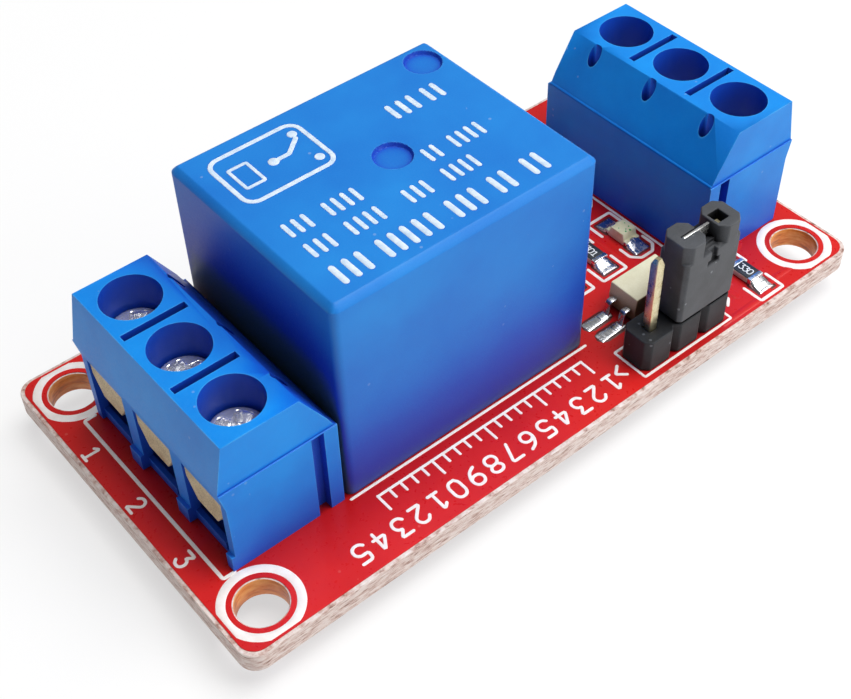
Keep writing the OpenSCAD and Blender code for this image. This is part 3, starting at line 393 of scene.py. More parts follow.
def makeDust():
    # Loose dust: round specks at scattered cell points, kept where a slow cloud is low
    group, given, out = newGroup("looseDust", {"Spacing": 0.8, "Speck": 0.12, "Cover": 0.5},
                                 ["Mask"])
    where = objectPoint(group)
    cells = addNode(group, "TexVoronoi", {"Vector": where, "Randomness": 1.0,
                                          "Scale": perMetre(group, given["Spacing"])})
    near = maths(group, "LESS_THAN", cells.outputs["Distance"], given["Speck"])
    kept = maths(group, "LESS_THAN", noise(group, where, 260.0, 3.0), given["Cover"])
    feed(group, out, {"Mask": times(group, near, kept)})
    return group


def makeScratch():
    # Fine scratches: a cloud drawn out long in one direction, in two crossing layers
    group, given, out = newGroup("fineScratches", {"Size": 0.2}, ["Mask", "Height"])
    where, scale = objectPoint(group), perMetre(group, given["Size"])
    masks = []
    for turn, stretch in ((0.6, (1, 0.07, 0.6)), (-0.9, (0.06, 1, 0.6))):
        lay = addNode(group, "Mapping", {"Vector": where, "Rotation": (0, 0, turn),
                                         "Scale": stretch}).outputs[0]
        masks.append(remap(group, noise(group, lay, scale, 3.0), 0.55, 0.75))
    both = maths(group, "MAXIMUM", *masks)
    feed(group, out, {"Mask": both, "Height": both})
    return group


def makePaintedShade():
    # Painted shade in corners, hollows, under things and between parts: the share of the
    # surroundings that is hidden, as a mask that starts early and one that starts late
    group, given, out = newGroup("paintedHollowShade", {"Reach": 5.0, "Start": 0.95, "End": 0.4,
                                                   "Deepest": 0.14}, ["Shade", "DeepShade"])
    reach = times(group, given["Reach"], mm)
    free = addNode(group, "AmbientOcclusion", {"Distance": reach}, samples=8).outputs["AO"]
    feed(group, out, {"Shade": remap(group, free, given["Start"], given["End"]),
                      "DeepShade": remap(group, free, 0.5, given["Deepest"])})
    return group


grain, rubAndHighlight, dust, scratch, paintedShade = makeGrain(), makeRubAndHighlight(), makeDust(), makeScratch(), makePaintedShade()


def newMaterial(name):
    material = bpy.data.materials.new(name)
    material.use_nodes = True
    materials[name] = material
    return material.node_tree, material.node_tree.nodes["Principled BSDF"]


# What a look holds where it doesn't say otherwise; sizes in mm, colours from 0 to 255
plasticBase = {
    "cloud": 3.0, "grain": 0.15, "speckle": 0.15, "relief": 0.02, "coat": 0.0, "coatRough": 0.1,
    "specular": 0.5, "subsurface": 0.0, "bleed": (0.0004, 0.0005, 0.0008),
    # Rubbed wear with a painted edge highlight
    "rubAndHighlight": 0.0, "rubHighlightWidth": 0.12,
    "dust": 0.0, "dustCover": 0.5, "dustColour": (215, 222, 230),
    # Painted shade in hollows: its reach, start, end, deepest and share
    "reach": 5.0, "shadeStart": 0.95, "shadeEnd": 0.4, "deepest": 0.14, "shadeShare": 0.85,
}
metalBase = {
    "cloud": 0.8, "grain": 0.08, "relief": 0.01, "metallic": 1.0, "tarnish": 0.2,
    "tarnishColour": (90, 84, 74), "scratchRough": 0.12, "scratchDeep": 0.25,
}


def plastic(name, look):
    # Moulded plastic or lacquer: two tones by a slow cloud, then speckle, rubbed edges with a
    # painted edge highlight, dust and painted shade in hollows laid over them, each as a mask
    # times its share, and last the painted deep shade
    look = {"speckColour": look["light"], **plasticBase, **look}
    tree, shader = newMaterial(name)
    base = place(tree, grain, {"Cloud Size": look["cloud"], "Grain Size": look["grain"]})
    layers = [(base["Speckle"], "speckle", "speckColour")]
    # Rubbed wear and a painted edge highlight: a lighter colour along the rounded edges
    if look["rubAndHighlight"]:
        wornAndLit = place(tree, rubAndHighlight, {"Radius": look["rubHighlightWidth"]})
        layers.append((wornAndLit["Mask"], "rubAndHighlight", "rubHighlightColour"))
    if look["dust"]:
        loose = place(tree, dust, {"Cover": look["dustCover"]})
        layers.append((loose["Mask"], "dust", "dustColour"))
    # Painted shade: the shade colour where the surroundings are hidden
    if "paintedShade" in look:
        shadeMasks = place(tree, paintedShade, {"Reach": look["reach"], "Start": look["shadeStart"],
                                     "End": look["shadeEnd"], "Deepest": look["deepest"]})
        layers.append((shadeMasks["Shade"], "shadeShare", "paintedShade"))
    colour = mixColour(tree, base["Shade"], rgb(look["dark"]), rgb(look["light"]))
    for mask, share, over in layers:
        colour = mixColour(tree, times(tree, mask, look[share]), colour,
                           rgb(look[over]))
    # Painted deep shade: the deep colour where the surroundings are hidden most
    if "deep" in look:
        colour = mixColour(tree, shadeMasks["DeepShade"], colour, rgb(look["deep"]))
    feed(tree, shader, {
        "Base Color": colour, "Roughness": remap(tree, base["Speckle"], 0, 1, *look["rough"]),
        "Normal": relief(tree, base["Height"], look["relief"]), "Coat Weight": look["coat"],
        "Coat Roughness": look["coatRough"], "Specular IOR Level": look["specular"],
        "Subsurface Weight": look["subsurface"]})
    if look["subsurface"]:
        feed(tree, shader, {"Subsurface Radius": look["bleed"], "Subsurface Scale": 1.0})


def metal(name, look):
    # Metal: two shades by a slow cloud, tarnish specks, fine scratches in roughness and relief
    look = {**metalBase, **look}
    tree, shader = newMaterial(name)
    base = place(tree, grain, {"Cloud Size": look["cloud"], "Grain Size": look["grain"]})
    lines = place(tree, scratch)
    spots = times(tree, remap(tree, base["Speckle"], 0.55, 0.9), look["tarnish"], True)
    colour = mixColour(tree, base["Shade"], rgb(look["dark"]), rgb(look["light"]))
    rough = maths(tree, "ADD", remap(tree, base["Shade"], 0, 1, *look["rough"]),
                  times(tree, lines["Mask"], look["scratchRough"]), True)
    height = times(tree, lines["Height"], look["scratchDeep"])
    feed(tree, shader, {
        "Base Color": mixColour(tree, spots, colour, rgb(look["tarnishColour"])),
        "Metallic": look["metallic"], "Roughness": rough,
        "Normal": relief(tree, maths(tree, "ADD", height, base["Height"]), look["relief"])})


# Shade and deep colours are painted shade in hollows, under things and between parts; rub colours
# are a painted edge highlight together with rubbed wear
plasticLooks = {
    "redCoat": dict(
        dark=(202, 24, 24), light=(220, 34, 30), cloud=5.0, grain=0.3, speckle=0.08,
        rough=(0.26, 0.38), relief=0.008, coat=0.1, coatRough=0.15, specular=0.28,
        paintedShade=(168, 14, 20), deep=(92, 8, 16), dust=0.2, dustCover=0.4, dustColour=(240, 150, 140)),
    "whiteInk": dict(
        dark=(240, 232, 226), light=(252, 249, 245), cloud=0.8, grain=0.1, speckle=0.18,
        speckColour=(242, 200, 190), rough=(0.45, 0.6), relief=0.012, specular=0.3),
    "relayInk": dict(
        dark=(196, 216, 236), light=(232, 240, 248), cloud=0.5, grain=0.08, speckle=0.25,
        speckColour=(150, 190, 230), rough=(0.4, 0.55), relief=0.012, specular=0.3),
    "relayPlastic": dict(
        dark=(18, 114, 204), light=(26, 132, 216), cloud=6.0, grain=0.1, speckle=0.08,
        speckColour=(90, 160, 225), rough=(0.36, 0.48), relief=0.006, specular=0.25,
        paintedShade=(28, 46, 184), deep=(58, 86, 104), reach=14.0, shadeStart=1.0, shadeEnd=0.7,
        deepest=0.34, rubAndHighlight=0.45, rubHighlightColour=(120, 190, 240), rubHighlightWidth=0.2, dust=0.16,
        dustCover=0.38),
    "blockPlastic": dict(
        dark=(6, 126, 220), light=(8, 144, 234), cloud=4.0, grain=0.14, speckle=0.1,
        speckColour=(60, 160, 235), rough=(0.36, 0.48), relief=0.01, specular=0.25,
        paintedShade=(26, 66, 212), deep=(24, 66, 170), reach=6.0, shadeStart=0.97, shadeEnd=0.45,
        rubAndHighlight=0.7, rubHighlightColour=(96, 196, 246), rubHighlightWidth=0.16, dust=0.14, dustCover=0.4),
    "headerPlastic": dict(
        dark=(36, 37, 40), light=(48, 50, 53), cloud=1.4, grain=0.12, speckle=0.2,
        speckColour=(80, 82, 86), rough=(0.44, 0.58), relief=0.016, specular=0.22,
        paintedShade=(18, 18, 21), deep=(8, 8, 10), rubAndHighlight=0.35, rubHighlightColour=(120, 122, 126), dust=0.16),
    "jumperPlastic": dict(
        dark=(66, 68, 71), light=(80, 82, 86), cloud=1.4, grain=0.1, speckle=0.25,
        speckColour=(104, 106, 110), rough=(0.4, 0.55), relief=0.016, specular=0.25,
        paintedShade=(20, 20, 23), deep=(9, 9, 12), rubAndHighlight=0.6, rubHighlightColour=(136, 138, 142), dust=0.18),
    "ivoryPlastic": dict(
        dark=(230, 225, 192), light=(243, 240, 212), cloud=1.6, grain=0.09, speckle=0.2,
        speckColour=(205, 190, 140), rough=(0.45, 0.6), relief=0.01, specular=0.3,
        paintedShade=(132, 104, 66), deep=(60, 40, 24), reach=3.0, shadeStart=0.9, shadeEnd=0.55),
    "ledPlastic": dict(
        dark=(222, 216, 178), light=(238, 234, 202), cloud=0.6, grain=0.08, speckle=0.3,
        speckColour=(190, 196, 140), rough=(0.2, 0.4), relief=0.01, subsurface=0.3),
    "chipCeramic": dict(
        dark=(196, 186, 166), light=(226, 220, 206), cloud=0.5, grain=0.06, speckle=0.25,
        speckColour=(160, 146, 124), rough=(0.5, 0.7), relief=0.01),
    "chipLacquer": dict(
        dark=(30, 33, 37), light=(46, 50, 54), cloud=0.5, grain=0.06, speckle=0.15,
        speckColour=(74, 80, 86), rough=(0.25, 0.4), relief=0.006),
    "chipInk": dict(
        dark=(226, 232, 234), light=(246, 248, 248), cloud=0.3, grain=0.05, speckle=0.1,
        rough=(0.4, 0.55), relief=0.004),
    "bodyPlastic": dict(
        dark=(30, 31, 34), light=(44, 46, 50), cloud=1.2, grain=0.07, speckle=0.2,
        speckColour=(70, 72, 76), rough=(0.5, 0.65), relief=0.012),
    "padGap": dict(
        dark=(58, 10, 14), light=(92, 18, 20), cloud=0.6, grain=0.08, speckle=0.3,
        speckColour=(120, 60, 40), rough=(0.3, 0.5), relief=0.01),
    "greenSpot": dict(
        dark=(30, 150, 70), light=(70, 190, 100), cloud=0.2, grain=0.04, speckle=0.2,
        rough=(0.2, 0.35), relief=0.004),
    "spoolPlastic": dict(
        dark=(196, 188, 164), light=(222, 215, 194), cloud=2.0, grain=0.1, rough=(0.45, 0.6),
        relief=0.01),
    "basePlastic": dict(
        dark=(16, 26, 58), light=(26, 40, 82), cloud=2.0, grain=0.12, rough=(0.4, 0.55),
        relief=0.012),
}
metalLooks = {
    "solderMetal": dict(dark=(196, 198, 204), light=(236, 238, 240), rough=(0.14, 0.3),
                        relief=0.02, cloud=0.4, grain=0.1, tarnish=0.15),
    "screwMetal": dict(dark=(240, 241, 242), light=(253, 253, 253), rough=(0.08, 0.17),
                       relief=0.004, cloud=0.3, tarnish=0.1, metallic=0.78),
    "tabMetal": dict(dark=(190, 176, 140), light=(218, 206, 172), rough=(0.42, 0.6),
                     relief=0.012, cloud=0.7, grain=0.09, tarnish=0.7,
                     tarnishColour=(112, 96, 62), metallic=0.35),
    "clampMetal": dict(dark=(176, 174, 168), light=(214, 212, 206), rough=(0.3, 0.45),
                       relief=0.012),
    "pinMetal": dict(dark=(206, 190, 146), light=(236, 226, 190), rough=(0.22, 0.36),
                     relief=0.008, cloud=0.6, tarnish=0.25, tarnishColour=(120, 98, 60)),
    "clipMetal": dict(dark=(206, 206, 204), light=(240, 240, 238), rough=(0.2, 0.34),
                      relief=0.008),
    "ironMetal": dict(dark=(150, 150, 152), light=(186, 186, 188), rough=(0.35, 0.5),
                      relief=0.012),
    "stripMetal": dict(dark=(176, 112, 66), light=(208, 144, 92), rough=(0.26, 0.4)),
    "silverMetal": dict(dark=(206, 204, 196), light=(234, 233, 226), rough=(0.2, 0.34)),
}
for finishName, look in plasticLooks.items():
    plastic(finishName, look)
for finishName, look in metalLooks.items():
    metal(finishName, look)

laminateLooks = {
    "boardCore": dict(stretch=(1500, 1500, 9000), rough=0.6, stops=[
        (0.3, (120, 84, 70)), (0.41, (196, 162, 150)), (0.53, (224, 206, 198)),
        (0.75, (238, 230, 226))]),
    "holeWall": dict(stretch=(500, 500, 1800), rough=0.35, stops=[
        (0.3, (156, 74, 22)), (0.5, (228, 132, 50)), (0.7, (248, 182, 104))]),
}


def laminate(name, look):
    # Glass laminate: a cloud pressed flat into thin layers, coloured from dark resin to pale glass
    tree, shader = newMaterial(name)
    lay = addNode(tree, "Mapping", {"Vector": objectPoint(tree), "Scale": look["stretch"]})
    cloud = noise(tree, lay.outputs[0], 1.0, 4.0, 0.65)
    ramp = addNode(tree, "ValToRGB", {"Fac": cloud})
    first, *between, last = look["stops"]
    stops = ramp.color_ramp.elements
    for stop, (at, colour) in ((stops[0], first), (stops[1], last)):
        stop.position, stop.color = at, rgb(colour)
    for at, colour in between:
        stops.new(at).color = rgb(colour)
    feed(tree, shader, {"Base Color": ramp.outputs["Color"], "Roughness": look["rough"],
                        "Normal": relief(tree, cloud, 0.04)})


for finishName, look in laminateLooks.items():
    laminate(finishName, look)

windingLook = {"gap": (112, 48, 18), "wire": (214, 120, 62), "wires": 1600.0, "relief": 0.03}


def winding(name, look):
    # Enamelled copper: round turns stacked along the coil, as a height and as a darker gap
    tree, shader = newMaterial(name)
    wave = addNode(tree, "TexWave", {"Vector": objectPoint(tree), "Scale": look["wires"],
                                     "Distortion": 0.6, "Detail": 1.0},
                   bands_direction="Z").outputs["Fac"]
    feed(tree, shader, {"Base Color": mixColour(tree, wave, rgb(look["gap"]), rgb(look["wire"])),
                        "Metallic": 0.9, "Roughness": 0.3,
                        "Normal": relief(tree, wave, look["relief"])})


winding("copperWire", windingLook)
print("materials made:", len(materials))

boardLook = {
    "holes": [(x, y) for x in (-22.25, 22.25) for y in (-10.25, 10.25)],
    "wallReach": 1.65,      # a hole's wall ends within this distance of its axis
    "edgeRound": 0.07,
}
topZ, underZ = boxOf("colour_coat")[1][2], boxOf("colour_coat")[0][2]


def refinish(node, finish):
    for item in nodes[node].material_slots:
        item.material = materials[finish]


def pickBoardFace(face):
    # Second slot for the walls of the mounting holes, first for the rest
    centre = face.calc_center_median() / mm
    near = min(math.hypot(centre.x - x, centre.y - y) for x, y in boardLook["holes"])
    return 1 if near < boardLook["wallReach"] and abs(face.normal.z) < 0.9 else 0


softCopy("circuit_board", "boardCore", ["boardCore", "holeWall"],
         width=boardLook["edgeRound"], pick=pickBoardFace)
refinish("colour_coat", "redCoat")

trackLook = {
    "width": 0.55, "rise": 0.018, "sunk": 0.02, "bend": 0.5,
    "routes": [
        [(12.9, -12.3), (17.0, -12.3), (18.2, -11.6), (20.2, -11.6)],
        [(13.2, -9.1), (15.2, -9.1), (16.3, -8.0), (19.2, -8.0), (19.8, -7.4), (19.8, 7.2)],
        [(6.1, -5.2), (6.1, 8.0), (6.6, 8.9)],
        [(9.4, -1.0), (9.4, 5.4)], [(12.4, -3.4), (12.4, 2.2)],
        [(10.6, 11.9), (-18.0, 11.9), (-19.6, 10.3)],
        [(15.4, -11.1), (15.4, -10.4), (14.4, -9.7)],
    ],
}


def makeTracks(look):
    # Copper tracks under the coat: low ribbons that follow the wiring between the parts
    return [ribbon(bendPath(route, look["bend"]), look["width"], topZ - look["sunk"],
                   topZ + look["rise"]) for route in look["routes"]]


makePiece("coatTracks", makeTracks(trackLook), "redCoat")
print("board made")

# Each figure is a list of strokes, 0.6 wide and 1 high
digitPaths = {
    "0": [[(0.15, 0), (0.45, 0), (0.6, 0.2), (0.6, 0.8), (0.45, 1), (0.15, 1), (0, 0.8), (0, 0.2),
           (0.15, 0)]],
    "1": [[(0.08, 0.78), (0.32, 1), (0.32, 0)], [(0.08, 0), (0.56, 0)]],
    "2": [[(0, 0.8), (0.15, 1), (0.45, 1), (0.6, 0.8), (0.6, 0.6), (0, 0), (0.6, 0)]],
    "3": [[(0, 1), (0.6, 1), (0.28, 0.6), (0.45, 0.6), (0.6, 0.42), (0.6, 0.18), (0.45, 0),
           (0.15, 0), (0, 0.18)]],
    "4": [[(0.45, 0), (0.45, 1), (0, 0.3), (0.62, 0.3)]],
    "5": [[(0.58, 1), (0.05, 1), (0, 0.58), (0.42, 0.6), (0.6, 0.42), (0.6, 0.18), (0.45, 0),
           (0.15, 0), (0, 0.15)]],
    "6": [[(0.52, 1), (0.2, 0.85), (0, 0.5), (0, 0.18), (0.15, 0), (0.45, 0), (0.6, 0.18),
           (0.6, 0.4), (0.45, 0.56), (0.15, 0.56), (0, 0.4)]],
    "7": [[(0, 1), (0.6, 1), (0.22, 0)]],
    "8": [[(0.15, 0.54), (0, 0.7), (0, 0.86), (0.15, 1), (0.45, 1), (0.6, 0.86), (0.6, 0.7),
           (0.45, 0.54), (0.15, 0.54), (0, 0.38), (0, 0.16), (0.15, 0), (0.45, 0), (0.6, 0.16),
           (0.6, 0.38), (0.45, 0.54)]],
    "9": [[(0.08, 0), (0.4, 0.15), (0.6, 0.5), (0.6, 0.82), (0.45, 1), (0.15, 1), (0, 0.82),
           (0, 0.6), (0.15, 0.44), (0.45, 0.44), (0.6, 0.6)]],
}


class Ink:
    # Lines, figures and strokes between two levels, gathered as parts
    def __init__(self, low, high):
        self.low, self.high, self.parts = low, high, []

    def line(self, points, width, bend=0.0, closed=False, at=(0, 0), turn=0.0):
        if bend:
            points = bendPath(points, bend, closed=closed)
        part = ribbon(points, width, self.low, self.high, closed)
        self.parts.append(moved(part, (*at, 0), turn))

    def digit(self, text, centre, height, width, turn):
        # Plain figure of round-cornered strokes, turned about its own middle
        for stroke in digitPaths[text]:
            self.line((np.array(stroke) - [0.3, 0.5]) * height, width, height * 0.14, at=centre,
                      turn=turn)

    def strokes(self, groups, at, height, width, pitch):
        # Upright strokes in groups, given as start along X and count
        half = (height - width) / 2
        for start, count in groups:
            for k in range(count):
                x = at[0] + start + k * pitch
                self.line([(x, at[1] - half), (x, at[1] + half)], width)


printLook = {
    "line": 0.25, "thin": 0.2, "rise": 0.03, "sunk": 0.01,
    "ringInner": 1.96, "ringOuter": 2.55, "clearEdge": 2.36,
    "blockGap": 0.7, "blockReturn": 0.75, "poleGap": 0.95, "poleFigure": 0.84, "poleLine": 0.85,
    "backGap": 0.3, "coverGap": 0.16,
    "rulerGap": 1.0, "rulerInset": 1.2, "ruler": 0.82, "marks": 20, "longMark": 1.2,
    "shortMark": 0.7,
    "rowGap": 3.6, "rowStart": 0.5, "rowPitch": 1.42, "rowCount": 15, "figure": 1.3,
    "figureLine": 0.9, "headerGap": 0.16, "arrowGap": 1.25, "arrow": (0.55, 0.45),
    "chipHalf": (1.075, 2.375), "chipOpen": 0.9, "ledCut": 0.55,
    "transistorBars": (1.9, 0.8), "diodeBars": (1.6, 1.3),
}
poleRows = (5.08, 0, -5.08)
coverLow, coverHigh = boxOf("relay_cover")
resistors = [f"resistor_{k}" for k in range(1, 6)]
leds = ["power_led", "status_led"]


def chipFrame(ink, centre, cut, look):
    # Frame round a chip, open in the middle of its long sides, with two cut corners where asked
    (half, end), opening = look["chipHalf"], look["chipOpen"]
    upper = [(-half, opening), (-half, end), (half, end), (half, opening)]
    corner = [(half, -end + cut), (half - cut, -end)][:2 if cut else 1]
    lower = [(-half, -opening), *[(-x, y) for x, y in corner], *corner[::-1], (half, -opening)]
    for run in (upper, lower):
        ink.line(run, look["line"], 0.12, at=centre[:2])


def makePrint(look):
    ink = Ink(topZ - look["sunk"], topZ + look["rise"])
    line, thin = look["line"], look["thin"]
    # Rings round the holes: their outer edge stops short of the board's edge
    turn = circle(64)
    for x, y in boardLook["holes"]:
        away = np.maximum(np.maximum(np.cos(turn) * np.sign(x), np.sin(turn) * np.sign(y)), 1e-3)
        outer = np.minimum(look["ringOuter"], look["clearEdge"] / away)
        ink.parts.append(band((x, y, 0), look["ringInner"], outer, ink.low, ink.high))
    # Outline in front of the output block, with the pole figures
    outLow, outHigh = boxOf("output_housing")
    out, half = outLow[0] - look["blockGap"], outHigh[1]
    back = out + look["blockReturn"]
    ink.line([(back, half), (out, half), (out, -half), (back, -half)], line, 0.15)
    for k, y in enumerate(poleRows):
        ink.digit(str(k + 1), (out - look["poleGap"], y), look["figure"] * look["poleFigure"],
                  line * look["poleLine"], -90)
    # Outline behind the input block
    behind = boxOf("input_housing")[0][0] - look["backGap"]
    ink.line([(behind, -half), (behind, half)], thin)
    # Relay outline, ruler and figures along the near edge
    near, right = coverLow[1], coverHigh[0]
    ink.line([(coverLow[0], near - look["coverGap"]), (right, near - look["coverGap"])], thin)
    start, step, base = right - look["rulerInset"], look["ruler"], near - look["rulerGap"]
    ink.line([(start, base), (start - look["marks"] * step, base)], thin)
    for k in range(look["marks"] + 1):
        tall = look["shortMark"] if k % 5 else look["longMark"]
        ink.line([(start - k * step, base), (start - k * step, base - tall)], thin)
    for k in range(1, look["rowCount"] + 1):
        x = right + look["rowStart"] - k * look["rowPitch"]
        ink.digit(str(k % 10), (x, near - look["rowGap"]), look["figure"],
                  line * look["figureLine"], 180)
    # Header outline, and an arrow at each end of it
    headLow, headHigh = boxOf("header_strip")
    hx, hy = (headLow[0] + headHigh[0]) / 2, (headLow[1] + headHigh[1]) / 2
    lx, ly = (headHigh[:2] - headLow[:2]) / 2 + look["headerGap"]
    ink.line([(hx + lx, hy + ly), (hx - lx, hy + ly), (hx - lx, hy - ly), (hx + lx, hy - ly)],
             thin, 0.1, closed=True)
    long, wide = look["arrow"]
    for s in (-1, 1):
        tip = hx + s * (lx + look["arrowGap"])
        ink.line([(tip - s * long, hy + wide), (tip, hy), (tip - s * long, hy - wide)],
                 line * look["figureLine"], 0.1)
    # Frames of the chips, the transistor and the diode
    for name in resistors + leds:
        chipFrame(ink, middleOf(name), look["ledCut"] if name in leds else 0, look)
    x, y, _ = middleOf("transistor_body")
    away, half = look["transistorBars"]
    for s in (-1, 1):
        ink.line([(x + s * away, y - half), (x + s * away, y + half)], line)
    x, y, _ = middleOf("flyback_diode")
    half, away = look["diodeBars"]
    for s in (-1, 1):
        ink.line([(x - half, y + s * away), (x + half, y + s * away)], line)
    return ink.parts


makePiece("boardPrint", makePrint(printLook), "whiteInk", node="white_print")
print("board print made")

coverLook = {
    "corner": 0.5, "edge": 0.36, "soften": 0.1, "wall": 0.8,
    "dimples": [(0.7, 0.0), (7.7, 5.8)], "dimpleWide": 2.3, "dimpleDeep": 0.25,
    "dimpleSlope": 0.1, "fine": 0.06, "coarse": 0.9,
    "endLines": np.array([0, 0.04, 0.1, 0.17, 0.26, 0.36, 0.48]),
}


def coverLines(half, spots, look):
    # Grid lines along one side: coarse, but fine across each dimple and near both ends
    reach = look["dimpleWide"] / 2 + 0.12
    lines = [np.arange(-half, half, look["coarse"]), half - look["endLines"],
             look["endLines"][1:] - half]
    lines += [np.arange(spot - reach, spot + reach, look["fine"]) for spot in spots]
    lines = np.unique(np.round(np.concatenate(lines), 4))
    return lines[np.concatenate([[True], np.diff(lines) > 0.02])]


def roundCorners(points, halfX, halfY, radius):
    # A point outside the core rectangle moves to the circle about the core's nearest corner
    core = np.clip(points, [radius - halfX, radius - halfY], [halfX - radius, halfY - radius])
    away = points - core
    reach = np.maximum(np.linalg.norm(away, axis=1, keepdims=True), 1e-9)
    return np.where(reach > 1e-6, core + away / reach * radius, points)


def makeCover(low, high, look):
    # Top: a grid of lines that sinks by a smooth step inside each dimple. Sides: the grid's rim
    # carried down a profile of a softened cut edge, round under the rim, and up the inner wall to
    # a flat ceiling
    (halfX, halfY, _), middle, depth = (high - low) / 2, (low + high) / 2, high[2] - low[2]
    edge, soft, wall, corner = look["edge"], look["soften"], look["wall"], look["corner"]
    xs = coverLines(halfX - edge - soft, [x for x, y in look["dimples"]], look)
    ys = coverLines(halfY - edge - soft, [y for x, y in look["dimples"]], look)
    gx, gy = np.meshgrid(xs, ys, indexing="xy")
    gz = np.full_like(gx, high[2])
    for x, y in look["dimples"]:
        inside = look["dimpleWide"] / 2 - np.hypot(gx - x, gy - y)
        step = np.clip(inside / look["dimpleSlope"] + 0.5, 0, 1)
        gz -= look["dimpleDeep"] * step ** 2 * (3 - 2 * step)
    sides = [(xs[:-1], ys[0]), (xs[-1], ys[:-1]), (xs[:0:-1], ys[-1]), (xs[0], ys[:0:-1])]
    rim = np.concatenate([grid(x, y, 0)[:, :2] for x, y in sides])
    spread = rim / [xs[-1], ys[-1]]
    profile = [     # inset, way down, corner radius
        (edge + soft, 0, 0.01), (edge + soft * 0.5, soft * 0.06, 0.08), (edge, soft * 0.3, 0.16),
        (edge * 0.5, edge * 0.5 + soft * 0.1, 0.3), (soft * 0.3, edge, 0.42),
        (soft * 0.06, edge + soft * 0.5, 0.48), (0, edge + soft, corner),
        (0, depth * 0.3, corner), (0, depth * 0.6, corner), (0, depth * 0.985, corner),
        (0.06, depth, corner - 0.06), (wall - 0.06, depth, 0.2), (wall, depth - 0.06, 0.15),
        (wall, depth * 0.5, 0.15), (wall, wall, 0.15)]
    rows = []
    for inset, down, radius in profile[::-1]:
        row = spread * [halfX - inset, halfY - inset]
        if radius > 0.05:
            row = roundCorners(row, halfX - inset, halfY - inset, radius)
        rows.append(grid(*row.T, high[2] - down))
    rows.insert(0, np.repeat(rows[0].mean(axis=0)[None], len(rim), axis=0))
    grids = gridPart(grid(gx, gy, gz)), gridPart(np.stack(rows), wrapCols=True)
    return [moved(grid, (middle[0], middle[1], 0)) for grid in grids]


makePiece("relayCover", makeCover(coverLow, coverHigh, coverLook), "relayPlastic",
          node="relay_cover", sharp=30)

# The print on the relay is drawn in steps of the strokes' pitch
markLook = {
    "line": 0.32, "pitch": 0.64, "rise": 0.03, "sunk": 0.01,
    "rows": [(7, [(0, 3), (4.2, 4), (15.2, 2), (18.2, 4)]),
             (3.8, [(0, 3), (4.2, 4), (10.4, 3), (14.8, 4)])],
    "bigRow": [(0, 3), (4.8, 5), (12.3, 3), (17.1, 2), (20.9, 2)],
    "cornerRow": [(0, 3), (4.1, 2)],
}


def makeMarking(look):
    w, p = look["line"], look["pitch"]
    ink = Ink(coverHigh[2] - look["sunk"], coverHigh[2] + look["rise"])
    left, near, far = coverLow[0] + 3 * p, coverLow[1] + 3 * p, coverHigh[1]
    # Frame with a coil, a changeover arm and its two contacts
    x, y = left + 4.2 * p, far - 5.8 * p
    ink.line(outline(10 * p - w, 7.5 * p - w, 1.2 * p, 6) + [x, y], w, closed=True)
    thin = w * 0.75
    coil = outline(2.3 * p - thin, 3.4 * p - thin, 0.08, 3) + [x - 2.7 * p, y]
    ink.line(coil, thin, closed=True)
    ink.line([(x + 0.3 * p, y), (x + 1.9 * p, y), (x + 3.6 * p, y + 1.4 * p)], w, 0.1)
    for dx, dy, r in ((3.7, 2.1, 0.5 * p), (3.7, -2.1, 0.5 * p), (0.2, 0, 0.55 * p)):
        dot = [(0, ink.low), (r, ink.low), (r * 0.85, ink.high), (0, ink.high)]
        ink.parts.append(lathe(dot, (x + dx * p, y + dy * p, 0), 24))
    corner = ((coverLow[0] + coverHigh[0]) / 2 + 5 * p, far - 7.2 * p)
    rows = [(look["cornerRow"], corner, 2.3 * p, 1.2)]
    rows += [(groups, (left, near + rise * p), 2 * p, 1) for rise, groups in look["rows"]]
    rows += [(look["bigRow"], (left, near), 2.6 * p, 1.3)]
    for groups, at, height, scale in rows:
        groups = [(start * p, count) for start, count in groups]
        ink.strokes(groups, at, height, scale * w, scale * p)
    return ink.parts


makePiece("relayMarking", makeMarking(markLook), "relayInk",
          node="relay_marking")

innerFinish = {
    "base": "basePlastic", "spool": "spoolPlastic", "winding": "copperWire", "core": "ironMetal",
    "yoke": "ironMetal", "armature": "ironMetal", "spring": "stripMetal",
    "moving_contact": "silverMetal", "open_contact": "stripMetal",
    "closed_contact": "stripMetal", "contact_heads": "silverMetal", "common_pin": "stripMetal",
    "coil_pins": "pinMetal",
}
for inner, finish in innerFinish.items():
    refinish("relay_" + inner, finish)
print("relay made")

blockLook = {"round": 0.09, "metalRound": 0.05}
for side in ("output", "input"):
    softCopy(side + "_housing", side + "Housing", "blockPlastic",
             width=blockLook["round"])
    for k in (1, 2, 3):
        softCopy(f"{side}_contact_{k}", f"{side}Contact{k}", "tabMetal",
                 width=blockLook["metalRound"])
        softCopy(f"{side}_clamp_{k}", f"{side}Clamp{k}", "clampMetal",
                 body=f"{side}_clamp_{k}", width=blockLook["metalRound"])

screwLook = {
    "head": 1.7, "headHeight": 1.3, "shank": 1.45, "rim": 0.22, "dome": 0.08,
    "crossLength": 2.6, "crossWidth": 0.72, "crossDeep": 0.75, "taper": 0.16,
    "pitch": 0.5, "threadDeep": 0.16, "threadSteps": 8, "tipRun": 0.35, "ease": 0.05, "around": 96,
    "firstTurn": 20, "nextTurn": 35, "inputTurn": 180,      # degrees, so that no two look alike
}


